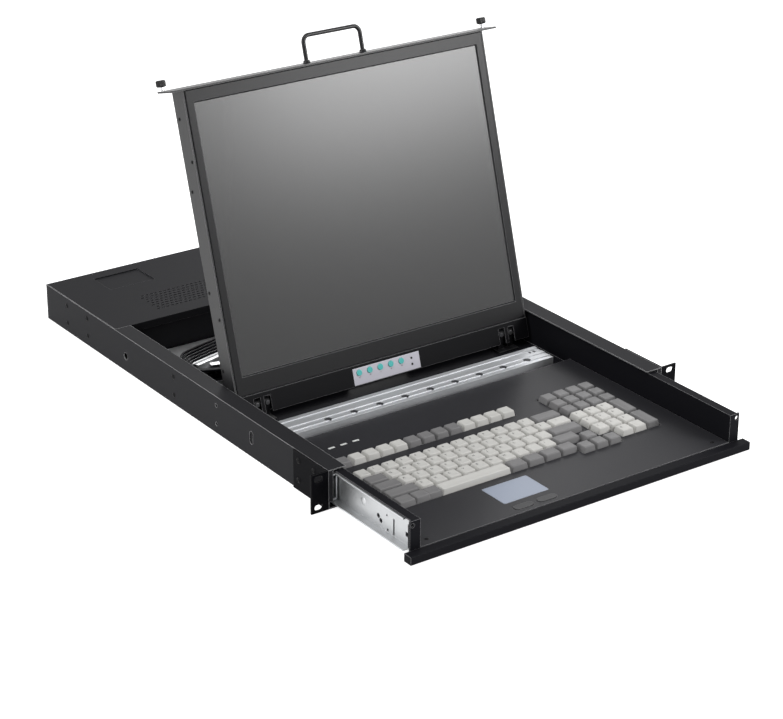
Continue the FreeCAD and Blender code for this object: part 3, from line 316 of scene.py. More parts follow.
def plated(name, colour, edge_colour, roughness, patch, streak, streak_axis):
    # streaks run along the named axis; patches are cloudy and much larger
    made, nodes, links, shader = blank_material(name)
    place = nodes.new("ShaderNodeTexCoord")
    turn = nodes.new("ShaderNodeMapping")
    turn.inputs["Scale"].default_value = [streak_stretch if axis == streak_axis else 1.0
                                          for axis in "XYZ"]
    lines = nodes.new("ShaderNodeTexNoise")
    lines.inputs["Scale"].default_value = 1.0 / streak
    clouds = nodes.new("ShaderNodeTexNoise")
    clouds.inputs["Scale"].default_value = 1.0 / patch
    clouds.inputs["Detail"].default_value = 3.0
    shade = nodes.new("ShaderNodeMix")
    shade.data_type = "RGBA"
    shade.inputs["A"].default_value = [c * patch_shade for c in colour[:3]] + [1.0]
    shade.inputs["B"].default_value = edge_colour
    dull = nodes.new("ShaderNodeMapRange")
    dull.inputs["To Min"].default_value = roughness - brighter
    dull.inputs["To Max"].default_value = roughness + duller
    grain = nodes.new("ShaderNodeGroup")
    grain.node_tree = grain_group
    grain.inputs["Size"].default_value = plating_grain
    grain.inputs["Relief"].default_value = plating_relief
    grain.inputs["Edge"].default_value = plating_edge
    links.new(place.outputs["Object"], turn.inputs["Vector"])
    links.new(turn.outputs["Vector"], lines.inputs["Vector"])
    links.new(place.outputs["Object"], clouds.inputs["Vector"])
    links.new(clouds.outputs["Fac"], shade.inputs["Factor"])
    links.new(shade.outputs["Result"], shader.inputs["Base Color"])
    links.new(lines.outputs["Fac"], dull.inputs["Value"])
    links.new(dull.outputs["Result"], shader.inputs["Roughness"])
    links.new(grain.outputs["Normal"], shader.inputs["Normal"])
    shader.inputs["Metallic"].default_value = 1.0
    return made


slide_zinc = plated("slide_zinc", (0.52, 0.53, 0.54, 1.0), (0.62, 0.63, 0.64, 1.0), 0.46, 60 * mm,
                    1.2 * mm, "Y")
dress(slide_zinc, "slide_chassis_members", "slide_middle_left", "slide_middle_right",
      "slide_drawer_members")
arm_zinc = plated("arm_zinc", zinc_bright, zinc_edge, 0.42, 24 * mm, 1.0 * mm, "X")
dress(arm_zinc, "arm_rear_link", "arm_front_link", "arm_support_plate")
bar_metal = plated("bar_metal", (0.55, 0.565, 0.585, 1.0), (0.68, 0.69, 0.71, 1.0), 0.55, 40 * mm,
                   0.8 * mm, "X")
dress(bar_metal, "cross_bar")
screw_steel = plated("screw_steel", (0.12, 0.12, 0.125, 1.0), (0.3, 0.3, 0.31, 1.0), 0.40, 6 * mm,
                     0.5 * mm, "X")
dress(screw_steel, "hinge_pins")
socket_nickel = plated("socket_nickel", (0.52, 0.51, 0.49, 1.0), (0.75, 0.75, 0.74, 1.0), 0.22, 5 * mm,
                       0.5 * mm, "Y")
dress(socket_nickel, "port_metalwork")

# ------------------------------------------------------------------ screw heads
# Low domed heads with a cross recess, in blackened steel. A head of the right size is
# shaped for every screw place, and faces straight out from it.
recess_reach = 0.55
recess_width = 0.16
recess_depth = 0.5
dome_segments, dome_rings = 24, 64
weld_distance = 0.01 * mm
screw_black = grained("screw_black", (0.004, 0.004, 0.005, 1.0), (0.02, 0.02, 0.02, 1.0), 0.40, 0.08,
                      0.5 * mm, 0.02 * mm)


def pieces_of(node):
    # the corners of the box of each separate solid of one node
    work = bmesh.new()
    work.from_mesh(cad[node].data)
    bmesh.ops.remove_doubles(work, verts=work.verts, dist=weld_distance)
    found, seen = [], set()
    for start in work.verts:
        if start in seen:
            continue
        seen.add(start)
        group, waiting = [], [start]
        while waiting:
            vertex = waiting.pop()
            group.append(vertex.co.copy())
            for edge in vertex.link_edges:
                other = edge.other_vert(vertex)
                if other not in seen:
                    seen.add(other)
                    waiting.append(other)
        low = Vector([min(c[i] for c in group) for i in range(3)])
        high = Vector([max(c[i] for c in group) for i in range(3)])
        found.append((low, high))
    work.free()
    return sorted(found, key=lambda pair: (round(pair[0].y, 4), pair[0].x))


def domed_head(radius, height, place, outward, crossed=True):
    # a cap of a sphere, with or without a cross, its rim at place and its crown along outward
    bpy.ops.object.select_all(action="DESELECT")
    ball = (radius * radius + height * height) / (2.0 * height)
    bpy.ops.mesh.primitive_uv_sphere_add(radius=ball, segments=dome_segments, ring_count=dome_rings)
    head = bpy.context.object
    bpy.ops.object.mode_set(mode="EDIT")
    bpy.ops.mesh.select_all(action="SELECT")
    bpy.ops.mesh.bisect(plane_co=(0.0, 0.0, ball - height), plane_no=(0.0, 0.0, 1.0), clear_inner=True,
                        use_fill=True)
    bpy.ops.object.mode_set(mode="OBJECT")
    head.data.transform(Matrix.Translation((0.0, 0.0, height - ball)))
    for across_x in (True, False) if crossed else ():
        long, short = 2.0 * radius * recess_reach, 2.0 * radius * recess_width
        bpy.ops.mesh.primitive_cube_add(size=1.0, location=(0.0, 0.0, height))
        cutter = bpy.context.object
        cutter.scale = (long if across_x else short, short if across_x else long,
                        2.0 * height * recess_depth)
        cut = head.modifiers.new("cross", "BOOLEAN")
        cut.object = cutter
        cut.solver = "EXACT"
        bpy.context.view_layer.objects.active = head
        bpy.ops.object.modifier_apply(modifier="cross")
        bpy.data.objects.remove(cutter)
    turn = outward.to_track_quat("Z", "Y").to_matrix().to_4x4()
    head.data.transform(Matrix.Translation(place) @ turn)
    return head


def heads_for(node, body, material, outward_axis):
    heads = []
    for low, high in pieces_of(node):
        middle, size = (low + high) / 2, high - low
        outward = Vector((0.0, 0.0, 0.0))
        outward[outward_axis] = math.copysign(1.0, middle[outward_axis]) if outward_axis == 0 else 1.0
        radius = max(size) / 2
        height = size[outward_axis]
        place = middle - outward * height / 2
        heads.append(domed_head(radius, height, place, outward))
    heads = join_pieces(heads, "heads_" + node)
    coat_piece(heads, material)
    smooth_round_sides()
    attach(heads, body)
    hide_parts(node)


heads_for("chassis_screws", "chassis", screw_black, 0)
heads_for("lcd_side_screws", "screen", screw_black, 0)
heads_for("cover_screws", "drawer", screw_black, 2)

# ------------------------------------------------------------------ slide rivets
# A low steel rivet in the web of each drawer slide holds the front of its inner strip.
# Headed over, so only a plain dome shows.
rivet_radius = 4.2 * mm
rivet_height = 0.9 * mm
rivet_setback = 38.0 * mm
rivet_level = underside + 21.3 * mm
slide_web = 204.4 * mm
pan_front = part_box("chassis_pan")[0].y
for side in (-1.0, 1.0):
    place = Vector((side * slide_web, pan_front - rivet_setback, rivet_level))
    rivet = domed_head(rivet_radius, rivet_height, place, Vector((side, 0.0, 0.0)), crossed=False)
    rivet.name = "slide_rivet_left" if side < 0 else "slide_rivet_right"
    coat_piece(rivet, slide_zinc)
    smooth_round_sides()
    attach(rivet, "drawer")

# ------------------------------------------------------------------ wall shade discs
# Painted shade: thin dark discs fill the upright slot and the two small holes behind it in each side
# wall, a little below its face, standing in for the shadow in them, so that the bright slide doesn't show
# through.
wall_shade_thickness = 0.5 * mm
wall_shade_inset = 0.9 * mm
wall_shade_soften = 0.12 * mm
wall_shade_sides = 28
slot_shade_radius = 2.9 * mm
slot_shade_stretch = 4.5 * mm
slot_shade_setback = 145.0 * mm
slot_shade_level = 22.5 * mm
wall_hole_shade_radius = 2.15 * mm
wall_hole_shade_setback = 215.0 * mm
wall_hole_shade_levels = (33.0 * mm, 11.0 * mm)
wall_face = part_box("chassis_pan")[1].x


def wall_shade_disc(side, radius, stretch, setback, level):
    # a round dark disc of painted shade, drawn out upwards where it fills a slot
    bpy.ops.object.select_all(action="DESELECT")
    bpy.ops.mesh.primitive_cylinder_add(vertices=wall_shade_sides, radius=radius, depth=wall_shade_thickness,
                                        rotation=(0.0, math.pi / 2, 0.0))
    shade_disc = bpy.context.object
    bpy.ops.object.transform_apply(location=True, rotation=True, scale=True)
    for vertex in shade_disc.data.vertices:
        vertex.co.z += math.copysign(stretch, vertex.co.z)
    soften_corners(shade_disc, wall_shade_soften)
    shade_disc.data.transform(Matrix.Translation((side * (wall_face - wall_shade_inset), pan_front + setback,
                                            underside + level)))
    return shade_disc


for side in (-1.0, 1.0):
    shade_discs = [wall_shade_disc(side, slot_shade_radius, slot_shade_stretch, slot_shade_setback, slot_shade_level)]
    shade_discs += [wall_shade_disc(side, wall_hole_shade_radius, 0.0, wall_hole_shade_setback, level)
              for level in wall_hole_shade_levels]
    shade_discs = join_pieces(shade_discs, "wall_shade_discs_left" if side < 0 else "wall_shade_discs_right")
    # the black screw paint serves here as painted shade
    coat_piece(shade_discs, screw_black)
    smooth_round_sides()
    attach(shade_discs, "chassis")

# ------------------------------------------------------------------ drawer
# The tray, its front lip and the cover plate round the keys, in the same coat as the
# chassis but rubbed a little smoother where hands rest.
tray_coat = grained("tray_coat", (0.009, 0.009, 0.011, 1.0), coat_wear_and_edge_highlight, 0.46, 0.025, coat_pebble,
                    coat_relief)
dress(tray_coat, "tray_pan", "front_lip")
cover_coat = grained("cover_coat", (0.024, 0.024, 0.027, 1.0), coat_wear_and_edge_highlight, 0.40, 0.11, coat_pebble,
                     coat_relief)
dress(cover_coat, "keyboard_cover")
base_black = grained("base_black", (0.008, 0.008, 0.008, 1.0), coat_black, 0.75, 0.15, 1.5 * mm,
                     0.02 * mm)
dress(base_black, "keyboard_base")
hinge_black = grained("hinge_black", (0.008, 0.008, 0.009, 1.0), (0.08, 0.08, 0.08, 1.0), 0.42, 0.12,
                      0.7 * mm, 0.03 * mm)
dress(hinge_black, "hinge_brackets", "hinge_leaves")
light_lens = grained("light_lens", (0.62, 0.64, 0.62, 1.0), (0.9, 0.9, 0.9, 1.0), 0.25, 0.5, 1.0 * mm,
                     0.01 * mm)
dress(light_lens, "status_lights")
smoked_lens = grained("smoked_lens", (0.02, 0.02, 0.02, 1.0), (0.06, 0.06, 0.06, 1.0), 0.2, 0.5, 1.0 * mm,
                      0.01 * mm)
dress(smoked_lens, "osd_lights")

# ------------------------------------------------------------------ bar hole shades
# Painted shade: dark dished discs set into the blind holes of the ribbed bar stand in for the shadow
# in them: nine round ones in a row, and two small square-cut ones at its right end.
# dark paint for the painted shade in the bar's holes
bar_shade_paint = grained("bar_shade_paint", (0.030, 0.030, 0.033, 1.0), (0.07, 0.07, 0.07, 1.0), 0.5, 0.3,
                      0.6 * mm, 0.02 * mm)
bar_shade_radius = 4.4 * mm
bar_shade_height = 0.5 * mm
bar_shade_dish = 0.2 * mm
bar_shade_sides = 32
bar_shade_ring = 0.9 * mm
bar_shade_soften = 0.15 * mm
bar_shade_count = 9
bar_shade_pitch = 34.0 * mm
bar_shade_first = -119.0 * mm
bar_shade_setback = 10.5 * mm
bar_shade_floor = underside + 13.4 * mm
end_shade_places = (168.5 * mm, 174.5 * mm)
end_shade_size = (2.7 * mm, 4.7 * mm)
end_shade_setback = 25.0 * mm
bar_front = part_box("cross_bar")[0].y


def round_bar_shade(x):
    bpy.ops.mesh.primitive_cylinder_add(vertices=bar_shade_sides, radius=bar_shade_radius, depth=bar_shade_height)
    bar_shade_disc = bpy.context.object
    bpy.ops.object.mode_set(mode="EDIT")
    bpy.ops.mesh.select_mode(type="FACE")
    edit = bmesh.from_edit_mesh(bar_shade_disc.data)
    for face in edit.faces:
        face.select = face.normal.z > 0.9
    bmesh.update_edit_mesh(bar_shade_disc.data)
    bpy.ops.mesh.inset(thickness=bar_shade_ring, depth=0.0)
    bpy.ops.mesh.inset(thickness=bar_shade_ring, depth=-bar_shade_dish)
    bpy.ops.object.mode_set(mode="OBJECT")
    bar_shade_disc.data.transform(Matrix.Translation((x, bar_front + bar_shade_setback, bar_shade_floor)))
    return bar_shade_disc


def end_bar_shade(x):
    bpy.ops.mesh.primitive_cube_add(size=1.0)
    bar_shade_disc = bpy.context.object
    bar_shade_disc.scale = (end_shade_size[0], end_shade_size[1], bar_shade_height)
    bpy.ops.object.transform_apply(location=True, rotation=True, scale=True)
    soften_corners(bar_shade_disc, bar_shade_soften)
    bar_shade_disc.data.transform(Matrix.Translation((x, bar_front + end_shade_setback, bar_shade_floor)))
    return bar_shade_disc


bar_shade_discs = [round_bar_shade(bar_shade_first + i * bar_shade_pitch) for i in range(bar_shade_count)]
bar_shade_discs += [end_bar_shade(x) for x in end_shade_places]
bar_hole_shades = join_pieces(bar_shade_discs, "bar_hole_shades")
coat_piece(bar_hole_shades, bar_shade_paint)
smooth_round_sides()
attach(bar_hole_shades, "drawer")

# ------------------------------------------------------------------ keys
# Moulded caps with sloping sides and a shallow dish for the finger, light grey for
# letters and numbers and darker grey round them. Each cap stands where its key is.
# Each grey is painted paler along the cap edges, a painted highlight where the rounded edges catch light.
light_key = grained("light_key", (0.52, 0.515, 0.495, 1.0), (0.72, 0.71, 0.68, 1.0), 0.55, 0.35,
                    0.35 * mm, 0.02 * mm, 0.5 * mm)
dark_key = grained("dark_key", (0.165, 0.163, 0.165, 1.0), (0.34, 0.33, 0.33, 1.0), 0.55, 0.35, 0.35 * mm,
                   0.02 * mm, 0.5 * mm)
key_skirt = 16.9 * mm
key_crown = 13.3 * mm
crown_shift = 0.4 * mm
key_tall = 9.0 * mm
dish_depth = 0.7 * mm
dish_rim = 1.4 * mm
dish_step = 2.2 * mm
outer_dish = dish_depth * 0.6
inner_dish = dish_depth * 0.4
crown_round = 1.1 * mm
crown_reach = 0.1 * mm


def select_faces(mesh_edit, wanted):
    for vertex in mesh_edit.verts:
        vertex.select = False
    for edge in mesh_edit.edges:
        edge.select = False
    for face in mesh_edit.faces:
        face.select = wanted(face)
    mesh_edit.select_flush_mode()


def first_cap():
    # one standard cap, centred, its underside at zero
    bpy.ops.object.select_all(action="DESELECT")
    bpy.ops.mesh.primitive_cube_add(size=1.0, location=(0.0, 0.0, key_tall / 2))
    cap = bpy.context.object
    cap.scale = (key_skirt, key_skirt, key_tall)
    bpy.ops.object.transform_apply(location=True, rotation=True, scale=True)
    bpy.ops.object.mode_set(mode="EDIT")
    bpy.ops.mesh.select_mode(type="FACE")
    edit = bmesh.from_edit_mesh(cap.data)
    select_faces(edit, lambda face: face.normal.z > 0.9)
    bmesh.update_edit_mesh(cap.data)
    shrink = key_crown / key_skirt
    bpy.ops.transform.resize(value=(shrink, shrink, 1.0))
    bpy.ops.transform.translate(value=(0.0, -crown_shift, 0.0))
    bpy.ops.mesh.select_mode(type="EDGE")
    edit = bmesh.from_edit_mesh(cap.data)
    for edge in edit.edges:
        edge.select = max(v.co.z for v in edge.verts) > key_tall - crown_reach
    bmesh.update_edit_mesh(cap.data)
    bpy.ops.mesh.bevel(offset=crown_round, segments=3, affect="EDGES")
    bpy.ops.mesh.select_mode(type="FACE")
    edit = bmesh.from_edit_mesh(cap.data)
    top = max(edit.faces, key=lambda face: face.calc_area() if face.normal.z > 0.98 else 0.0)
    select_faces(edit, lambda face: face == top)
    bmesh.update_edit_mesh(cap.data)
    bpy.ops.mesh.inset(thickness=dish_rim, depth=-outer_dish)
    bpy.ops.mesh.inset(thickness=dish_step, depth=-inner_dish)
    bpy.ops.object.mode_set(mode="OBJECT")
    return cap


standard_cap = first_cap()


def caps_for(node, body, material):
    parts = []
    for low, high in pieces_of(node):
        cap = standard_cap.copy()
        cap.data = standard_cap.data.copy()
        bpy.context.scene.collection.objects.link(cap)
        middle = (low + high) / 2
        wider = (high.x - low.x - key_skirt) / 2
        deeper = (high.y - low.y - key_skirt) / 2
        for vertex in cap.data.vertices:
            vertex.co.x += math.copysign(wider, vertex.co.x) + middle.x
            vertex.co.y += math.copysign(deeper, vertex.co.y) + middle.y
            vertex.co.z += low.z
        parts.append(cap)
    caps = join_pieces(parts, "caps_" + node)
    coat_piece(caps, material)
    smooth_round_sides()
    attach(caps, body)
    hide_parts(node)


key_rows = {
    "keys_function_dark": ("function_keys", dark_key, "key_dark"),
    "keys_function_light": ("function_keys", light_key, "key_light"),
    "keys_number_row": ("number_keys", light_key, "key_light"),
    "keys_upper_row": ("upper_keys", light_key, "key_light"),
    "keys_home_row": ("home_keys", light_key, "key_light"),
    "keys_lower_row": ("lower_keys", light_key, "key_light"),
    "keys_modifiers": ("modifier_keys", dark_key, "key_dark"),
    "keys_bottom_row": ("bottom_keys", dark_key, "key_dark"),
    "space_bar": ("space_key", light_key, "key_light"),
    "keys_arrows": ("arrow_keys", dark_key, "key_dark"),
    "keys_navigation": ("navigation_keys", dark_key, "key_dark"),
    "keys_numpad": ("numpad_keys", light_key, "key_light"),
}
for node, (body, material, slot) in key_rows.items():
    caps_for(node, body, material)
bpy.data.objects.remove(standard_cap)

# ------------------------------------------------------------------ key legends
# Single printed characters near the rear left corner of each cap, plain letters, digits
# and marks only.
legend_ink = grained("legend_ink", (0.03, 0.03, 0.035, 1.0), (0.03, 0.03, 0.035, 1.0), 0.5, 0.2, 0.3 * mm,
                     0.005 * mm)
legend_height = 4.2 * mm
legend_lift = 0.03 * mm
legend_left = 2.4 * mm
legend_back = 1.6 * mm
legend_rows = {
    "keys_number_row": "`1234567890-=",
    "keys_upper_row": "QWERTYUIOP[]\\",
    "keys_home_row": "ASDFGHJKL;'",
    "keys_lower_row": "ZXCVBNM,./",
    "keys_numpad": "0.123456789",
}


def printed_mark(character, height):
    # one flat character, centred, face up
    bpy.ops.object.select_all(action="DESELECT")
    bpy.ops.object.text_add()
    mark = bpy.context.object
    mark.data.body = character
    mark.data.size = height
    mark.data.align_x = "CENTER"
    mark.data.align_y = "CENTER"
    mark.data.resolution_u = 3
    bpy.ops.object.convert(target="MESH")
    return bpy.context.object


def legends_for(node, characters, body):
    marks = []
    for (low, high), character in zip(pieces_of(node), characters):
        mark = printed_mark(character, legend_height)
        place = ((low.x + high.x) / 2 - legend_left, (low.y + high.y) / 2 + legend_back,
                 high.z - outer_dish + legend_lift)
        mark.data.transform(Matrix.Translation(place))
        marks.append(mark)
    print_row = join_pieces(marks, "legends_" + node)
    coat_piece(print_row, legend_ink)
    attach(print_row, body)


for node, characters in legend_rows.items():
    legends_for(node, characters, key_rows[node][0])

# ------------------------------------------------------------------ touchpad
# A smooth lilac-grey pad with a satin skin, set level with the cover, over two dark
# oval buttons.
pad_skin = grained("pad_skin", (0.25, 0.285, 0.36, 1.0), (0.45, 0.48, 0.56, 1.0), 0.38, 0.3, 0.5 * mm,
                   0.008 * mm)
dress(pad_skin, "touchpad")
button_skin = grained("button_skin", (0.026, 0.026, 0.028, 1.0), (0.10, 0.10, 0.10, 1.0), 0.5, 0.35,
                      0.5 * mm, 0.02 * mm)
dress(button_skin, "touchpad_button_left", "touchpad_button_right")

# ------------------------------------------------------------------ screen
# A deep black steel housing, a painted bezel and a glass-fronted panel, dark grey when
# off, with a plate under it for the control keys.
housing_coat = grained("housing_coat", (0.013, 0.013, 0.014, 1.0), coat_wear_and_edge_highlight, 0.36, 0.30, coat_pebble,
                       coat_relief)
dress(housing_coat, "lcd_housing", "front_panel")
bezel_coat = grained("bezel_coat", (0.008, 0.008, 0.009, 1.0), coat_wear_and_edge_highlight, 0.30, 0.18, 0.7 * mm, 0.02 * mm)
dress(bezel_coat, "lcd_bezel")
plate_coat = grained("plate_coat", (0.006, 0.006, 0.007, 1.0), coat_wear_and_edge_highlight, 0.42, 0.06, 0.7 * mm, 0.02 * mm)
dress(plate_coat, "osd_plate")
panel_face = grained("panel_face", (0.014, 0.0145, 0.015, 1.0), (0.014, 0.0145, 0.015, 1.0), 0.25, 0.5,
                     0.3 * mm, 0.001 * mm)
dress(panel_face, "lcd_screen")
label_film = grained("label_film", (0.50, 0.49, 0.55, 1.0), (0.7, 0.7, 0.74, 1.0), 0.35, 0.4, 0.6 * mm,
                     0.004 * mm)
dress(label_film, "osd_label")
teal_keys = grained("teal_keys", (0.06, 0.46, 0.44, 1.0), (0.25, 0.65, 0.62, 1.0), 0.3, 0.5, 0.5 * mm,
                    0.01 * mm)
dress(teal_keys, "osd_buttons")
mark_ink = grained("mark_ink", (0.05, 0.05, 0.06, 1.0), (0.05, 0.05, 0.06, 1.0), 0.5, 0.2, 0.3 * mm,
                   0.004 * mm)
mark_drop = 5.6 * mm
mark_height = 4.0 * mm
mark_lift = 0.04 * mm
screen_lean = math.radians(16.3)
plate_up = Vector((0.0, math.sin(screen_lean), math.cos(screen_lean)))
plate_out = Vector((0.0, -math.cos(screen_lean), math.sin(screen_lean)))
label_face = max(corner.co.dot(plate_out) for corner in cad["osd_label"].data.vertices)
marks = []
for (low, high), character in zip(sorted(pieces_of("osd_buttons"), key=lambda pair: pair[0].x), "<>-+="):
    mark = printed_mark(character, mark_height)
    middle = (low + high) / 2
    foot = middle + plate_out * (label_face - middle.dot(plate_out) + mark_lift) - plate_up * mark_drop
    mark.data.transform(Matrix.Translation(foot) @ Matrix.Rotation(math.pi / 2 - screen_lean, 4, "X"))
    marks.append(mark)
key_marks = join_pieces(marks, "key_marks")
coat_piece(key_marks, mark_ink)
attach(key_marks, "screen")

# ------------------------------------------------------------------ handle and thumbscrews
# A bent black rod in two collars, and two captive screws, each with a bright sleeve.
rod_black = grained("rod_black", (0.006, 0.006, 0.007, 1.0), (0.02, 0.02, 0.02, 1.0), 0.22, 0.25,
                    0.6 * mm, 0.01 * mm)
dress(rod_black, "handle", "thumbscrew_left", "thumbscrew_right")
shank_bright = plated("shank_bright", (0.72, 0.72, 0.74, 1.0), zinc_edge, 0.25, 5 * mm, 0.5 * mm, "Z")
sleeve_radius = 2.7 * mm
sleeve_length = 4.3 * mm
sleeve_drop = 0.45 * mm
sleeve_sides = 24
for side in ("left", "right"):
    turn = next(joint for joint in frame["joints"] if joint["name"] == "thumbscrew_%s_turn" % side)
    along = Vector(turn["axis"])
    bpy.ops.object.select_all(action="DESELECT")
    bpy.ops.mesh.primitive_cylinder_add(vertices=sleeve_sides, radius=sleeve_radius, depth=sleeve_length)
    sleeve = bpy.context.object
    sleeve.name = "sleeve_" + side
    upright_turn = along.to_track_quat("Z", "Y").to_matrix().to_4x4()
    sleeve.data.transform(Matrix.Translation(Vector(turn["pos_m"]) - along * sleeve_drop) @ upright_turn)
    coat_piece(sleeve, shank_bright)
    smooth_round_sides()
    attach(sleeve, "thumbscrew_" + side)

# ------------------------------------------------------------------ arm cables
# Black sheathed cables lie in the channel of each link and loop round the elbow.
sheath = grained("sheath", (0.006, 0.006, 0.008, 1.0), (0.008, 0.008, 0.01, 1.0), 0.42, 0.07, 1.5 * mm,
                 0.03 * mm)
dress(sheath, "rear_link_cables", "front_link_cables")
elbow_end = 14.0 * mm
elbow_rise = 2.2 * mm
elbow_steps = 20
elbow_count = 5
loop_facets = 4
joint_places = {joint["name"]: joint.get("pos_m") for joint in frame["joints"]}
elbow_place = Vector(joint_places["arm_elbow"])
rear_pivot = Vector(joint_places["arm_rear_pivot"])
link_ends = pieces_of("rear_link_cables")
link_run = rear_pivot - elbow_place
elbow_lean = math.atan2(link_run.y, link_run.x)
cable_radius = min(high.z - low.z for low, high in link_ends) / 2
low_cable = min(low.z for low, high in link_ends) + cable_radius
high_cable = max(high.z for low, high in link_ends) - cable_radius
front_rise = min(low.z for low, high in pieces_of("front_link_cables")) - low_cable + cable_radius
first_offset = 5.3 * mm
offset_step = 3.85 * mm
rear_way = Vector((math.cos(elbow_lean), math.sin(elbow_lean), 0.0))
front_way = Vector((rear_way.x, -rear_way.y, 0.0))
rear_side = Vector((-rear_way.y, rear_way.x, 0.0))
front_side = Vector((front_way.y, -front_way.x, 0.0))
arc_start = math.pi / 2 + elbow_lean
arc_end = 3 * math.pi / 2 - elbow_lean


def round_elbow(share, offset):
    # a place on the arc round the elbow, from 0 beside the rear link to 1 beside the front one
    turn = arc_start + (arc_end - arc_start) * share
    return elbow_place + Vector((math.cos(turn), math.sin(turn), 0.0)) * offset


def sheathed(cable, radius, resolution):
    cable.data.dimensions = "3D"
    cable.data.bevel_depth = radius
    cable.data.bevel_resolution = resolution
    cable.data.use_fill_caps = True
    bpy.ops.object.convert(target="MESH")
    bpy.ops.object.shade_smooth()
    coat_piece(cable, sheath)


def elbow_loop(name, offset, height, drop, radius):
    # from the rear link, round the elbow at a steady distance, to the front link
    points = [elbow_place + rear_way * elbow_end + rear_side * offset]
    points += [round_elbow(i / elbow_steps, offset) for i in range(elbow_steps + 1)]
    points.append(elbow_place + front_way * elbow_end + front_side * offset)
    bpy.ops.object.select_all(action="DESELECT")
    bpy.ops.curve.primitive_bezier_curve_add()
    loop = bpy.context.object
    loop.name = name
    loop.data.splines.clear()
    spline = loop.data.splines.new("POLY")
    spline.points.add(len(points) - 1)
    for i, (point, place) in enumerate(zip(spline.points, points)):
        lift = height + elbow_rise
        if i == 0:
            lift = height
        elif i == len(points) - 1:
            lift = height + drop
        point.co = (place.x, place.y, lift, 1.0)
    sheathed(loop, radius, loop_facets)
    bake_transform(loop)


for i in range(elbow_count):
    height = low_cable if i % 2 == 0 else high_cable
    elbow_loop("elbow_cable_%d" % (i + 1), first_offset + i * offset_step, height, front_rise,
               cable_radius)

# ------------------------------------------------------------------ loose cable bundle
# Five thinner cables lie beside and above the others, rise out of the rear link towards
# the elbow, go round it in a fan and sink again beside the front link.
bundle_count = 5
bundle_facets = 3
bundle_radius = 1.6 * mm
fan_first = 9.6 * mm
fan_step = 2.7 * mm
fan_height = 28.0 * mm
fan_climb = 2.1 * mm
sunk_first = 10.2 * mm
sunk_step = 3.1 * mm
sunk_climb = 0.9 * mm
rear_sunk = 22.0 * mm
front_sunk = 22.2 * mm
arc_end_rise = 2.0 * mm
bundle_margin = 16.0 * mm
bundle_reach = math.hypot(link_run.x, link_run.y) - bundle_margin
rear_sunk_shares = (1.0, 0.85, 0.66)
rear_fan_shares = (0.5, 0.34, 0.16)
front_shares = (0.1, 0.3, 0.6, 0.85, 1.0)
arc_steps = 8


def bundle_cable(number):
    fan = fan_first + number * fan_step
    sunk = sunk_first + number * sunk_step
    high = fan_height + number * fan_climb
    rear_low = rear_sunk + number * sunk_climb
    front_low = front_sunk + number * sunk_climb
    places = [(elbow_place + rear_way * (share * bundle_reach) + rear_side * sunk, rear_low)
              for share in rear_sunk_shares]
    places += [(elbow_place + rear_way * (share * bundle_reach) + rear_side * fan, high)
               for share in rear_fan_shares]
    for i in range(arc_steps + 1):
        share = i / arc_steps
        drop = share * share * (3.0 - 2.0 * share)
        places.append((round_elbow(share, fan + (sunk - fan) * share),
                       high + (front_low + arc_end_rise - high) * drop))
    places += [(elbow_place + front_way * (share * bundle_reach) + front_side * sunk, front_low)
               for share in front_shares]
    bpy.ops.object.select_all(action="DESELECT")
    bpy.ops.curve.primitive_nurbs_curve_add()
    cable = bpy.context.object
    cable.name = "loose_cable_%d" % (number + 1)
    cable.data.splines.clear()
    spline = cable.data.splines.new("NURBS")
    spline.points.add(len(places) - 1)
    for point, (place, height) in zip(spline.points, places):
        point.co = (place.x, place.y, underside + height, 1.0)
    spline.use_endpoint_u = True
    spline.order_u = 4
    spline.resolution_u = 7
    sheathed(cable, bundle_radius, bundle_facets)
    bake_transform(cable)


for number in range(bundle_count):
    bundle_cable(number)

# ------------------------------------------------------------------ rear sockets
# Blue and coloured moulded sockets in bright shells, and a black inlet with a rocker.
vga_blue = grained("vga_blue", (0.010, 0.12, 0.58, 1.0), (0.05, 0.25, 0.75, 1.0), 0.35, 0.5, 0.5 * mm,
                   0.01 * mm)
dress(vga_blue, "vga_inserts")
# painted shade: the pin holes of the sockets are drawn as dark wells
well_black = grained("well_black", (0.004, 0.004, 0.005, 1.0), (0.004, 0.004, 0.005, 1.0), 0.6, 0.1,
                     0.5 * mm, 0.01 * mm)
well_radius = 0.5 * mm
well_depth = 0.3 * mm
well_pitch = 2.29 * mm
well_row_pitch = 1.98 * mm
well_stand = 0.05 * mm
well_sides = 10


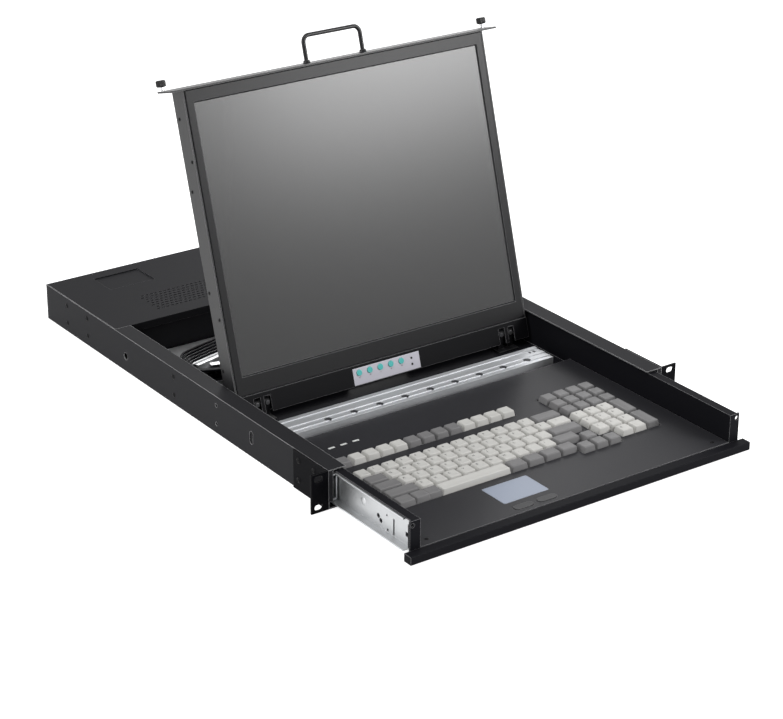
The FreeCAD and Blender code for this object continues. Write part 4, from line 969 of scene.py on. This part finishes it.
def pin_wells(name, places):
    # short dark plugs of painted shade, standing in for the shadow in the pin holes, their ends just
    # proud of the socket's face
    bpy.ops.object.select_all(action="DESELECT")
    bpy.ops.mesh.primitive_cylinder_add(vertices=well_sides, radius=well_radius, depth=well_depth)
    first = bpy.context.object
    first.data.transform(Matrix.Rotation(math.pi / 2, 4, "X"))
    copies = []
    for place in places:
        copy = first.copy()
        copy.data = first.data.copy()
        copy.data.transform(Matrix.Translation(place))
        bpy.context.scene.collection.objects.link(copy)
        copies.append(copy)
    bpy.data.objects.remove(first)
    wells = join_pieces(copies, name)
    coat_piece(wells, well_black)
    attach(wells, "chassis")


well_places = []
for low, high in pieces_of("vga_inserts"):
    middle = (low + high) / 2
    for row in (-1, 0, 1):
        for column in (-2, -1, 0, 1, 2):
            well_places.append((middle.x + column * well_pitch + (row - 1) * well_pitch / 6,
                                high.y - well_depth / 2 + well_stand, middle.z + row * well_row_pitch))
pin_wells("video_pin_wells", well_places)
din_purple = grained("din_purple", (0.16, 0.13, 0.45, 1.0), (0.3, 0.26, 0.6, 1.0), 0.35, 0.5, 0.5 * mm,
                     0.01 * mm)
dress(din_purple, "keyboard_port")
din_green = grained("din_green", (0.05, 0.42, 0.25, 1.0), (0.2, 0.6, 0.4, 1.0), 0.35, 0.5, 0.5 * mm,
                    0.01 * mm)
dress(din_green, "mouse_port")
ring_reach = 6.7 * mm
hub_drop = 0.6 * mm
well_circle = 2.35 * mm
round_well_count = 6
first_well_turn = 30.0
for port in ("keyboard_port", "mouse_port"):
    low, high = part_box(port)
    round_places = []
    for i in range(round_well_count):
        turn = math.radians(first_well_turn + 360.0 / round_well_count * i)
        round_places.append(((low.x + high.x) / 2 + well_circle * math.cos(turn),
                             high.y - hub_drop - well_depth / 2 + well_stand,
                             high.z - ring_reach + well_circle * math.sin(turn)))
    pin_wells(port + "_wells", round_places)
inlet_black = grained("inlet_black", (0.010, 0.010, 0.011, 1.0), (0.06, 0.06, 0.06, 1.0), 0.35, 0.5,
                      0.5 * mm, 0.01 * mm)
dress(inlet_black, "power_inlet", "rocker_switch")
board_mask = grained("board_mask", (0.02, 0.11, 0.05, 1.0), (0.2, 0.25, 0.1, 1.0), 0.35, 0.5, 1.0 * mm,
                     0.01 * mm)
dress(board_mask, "bay_board")
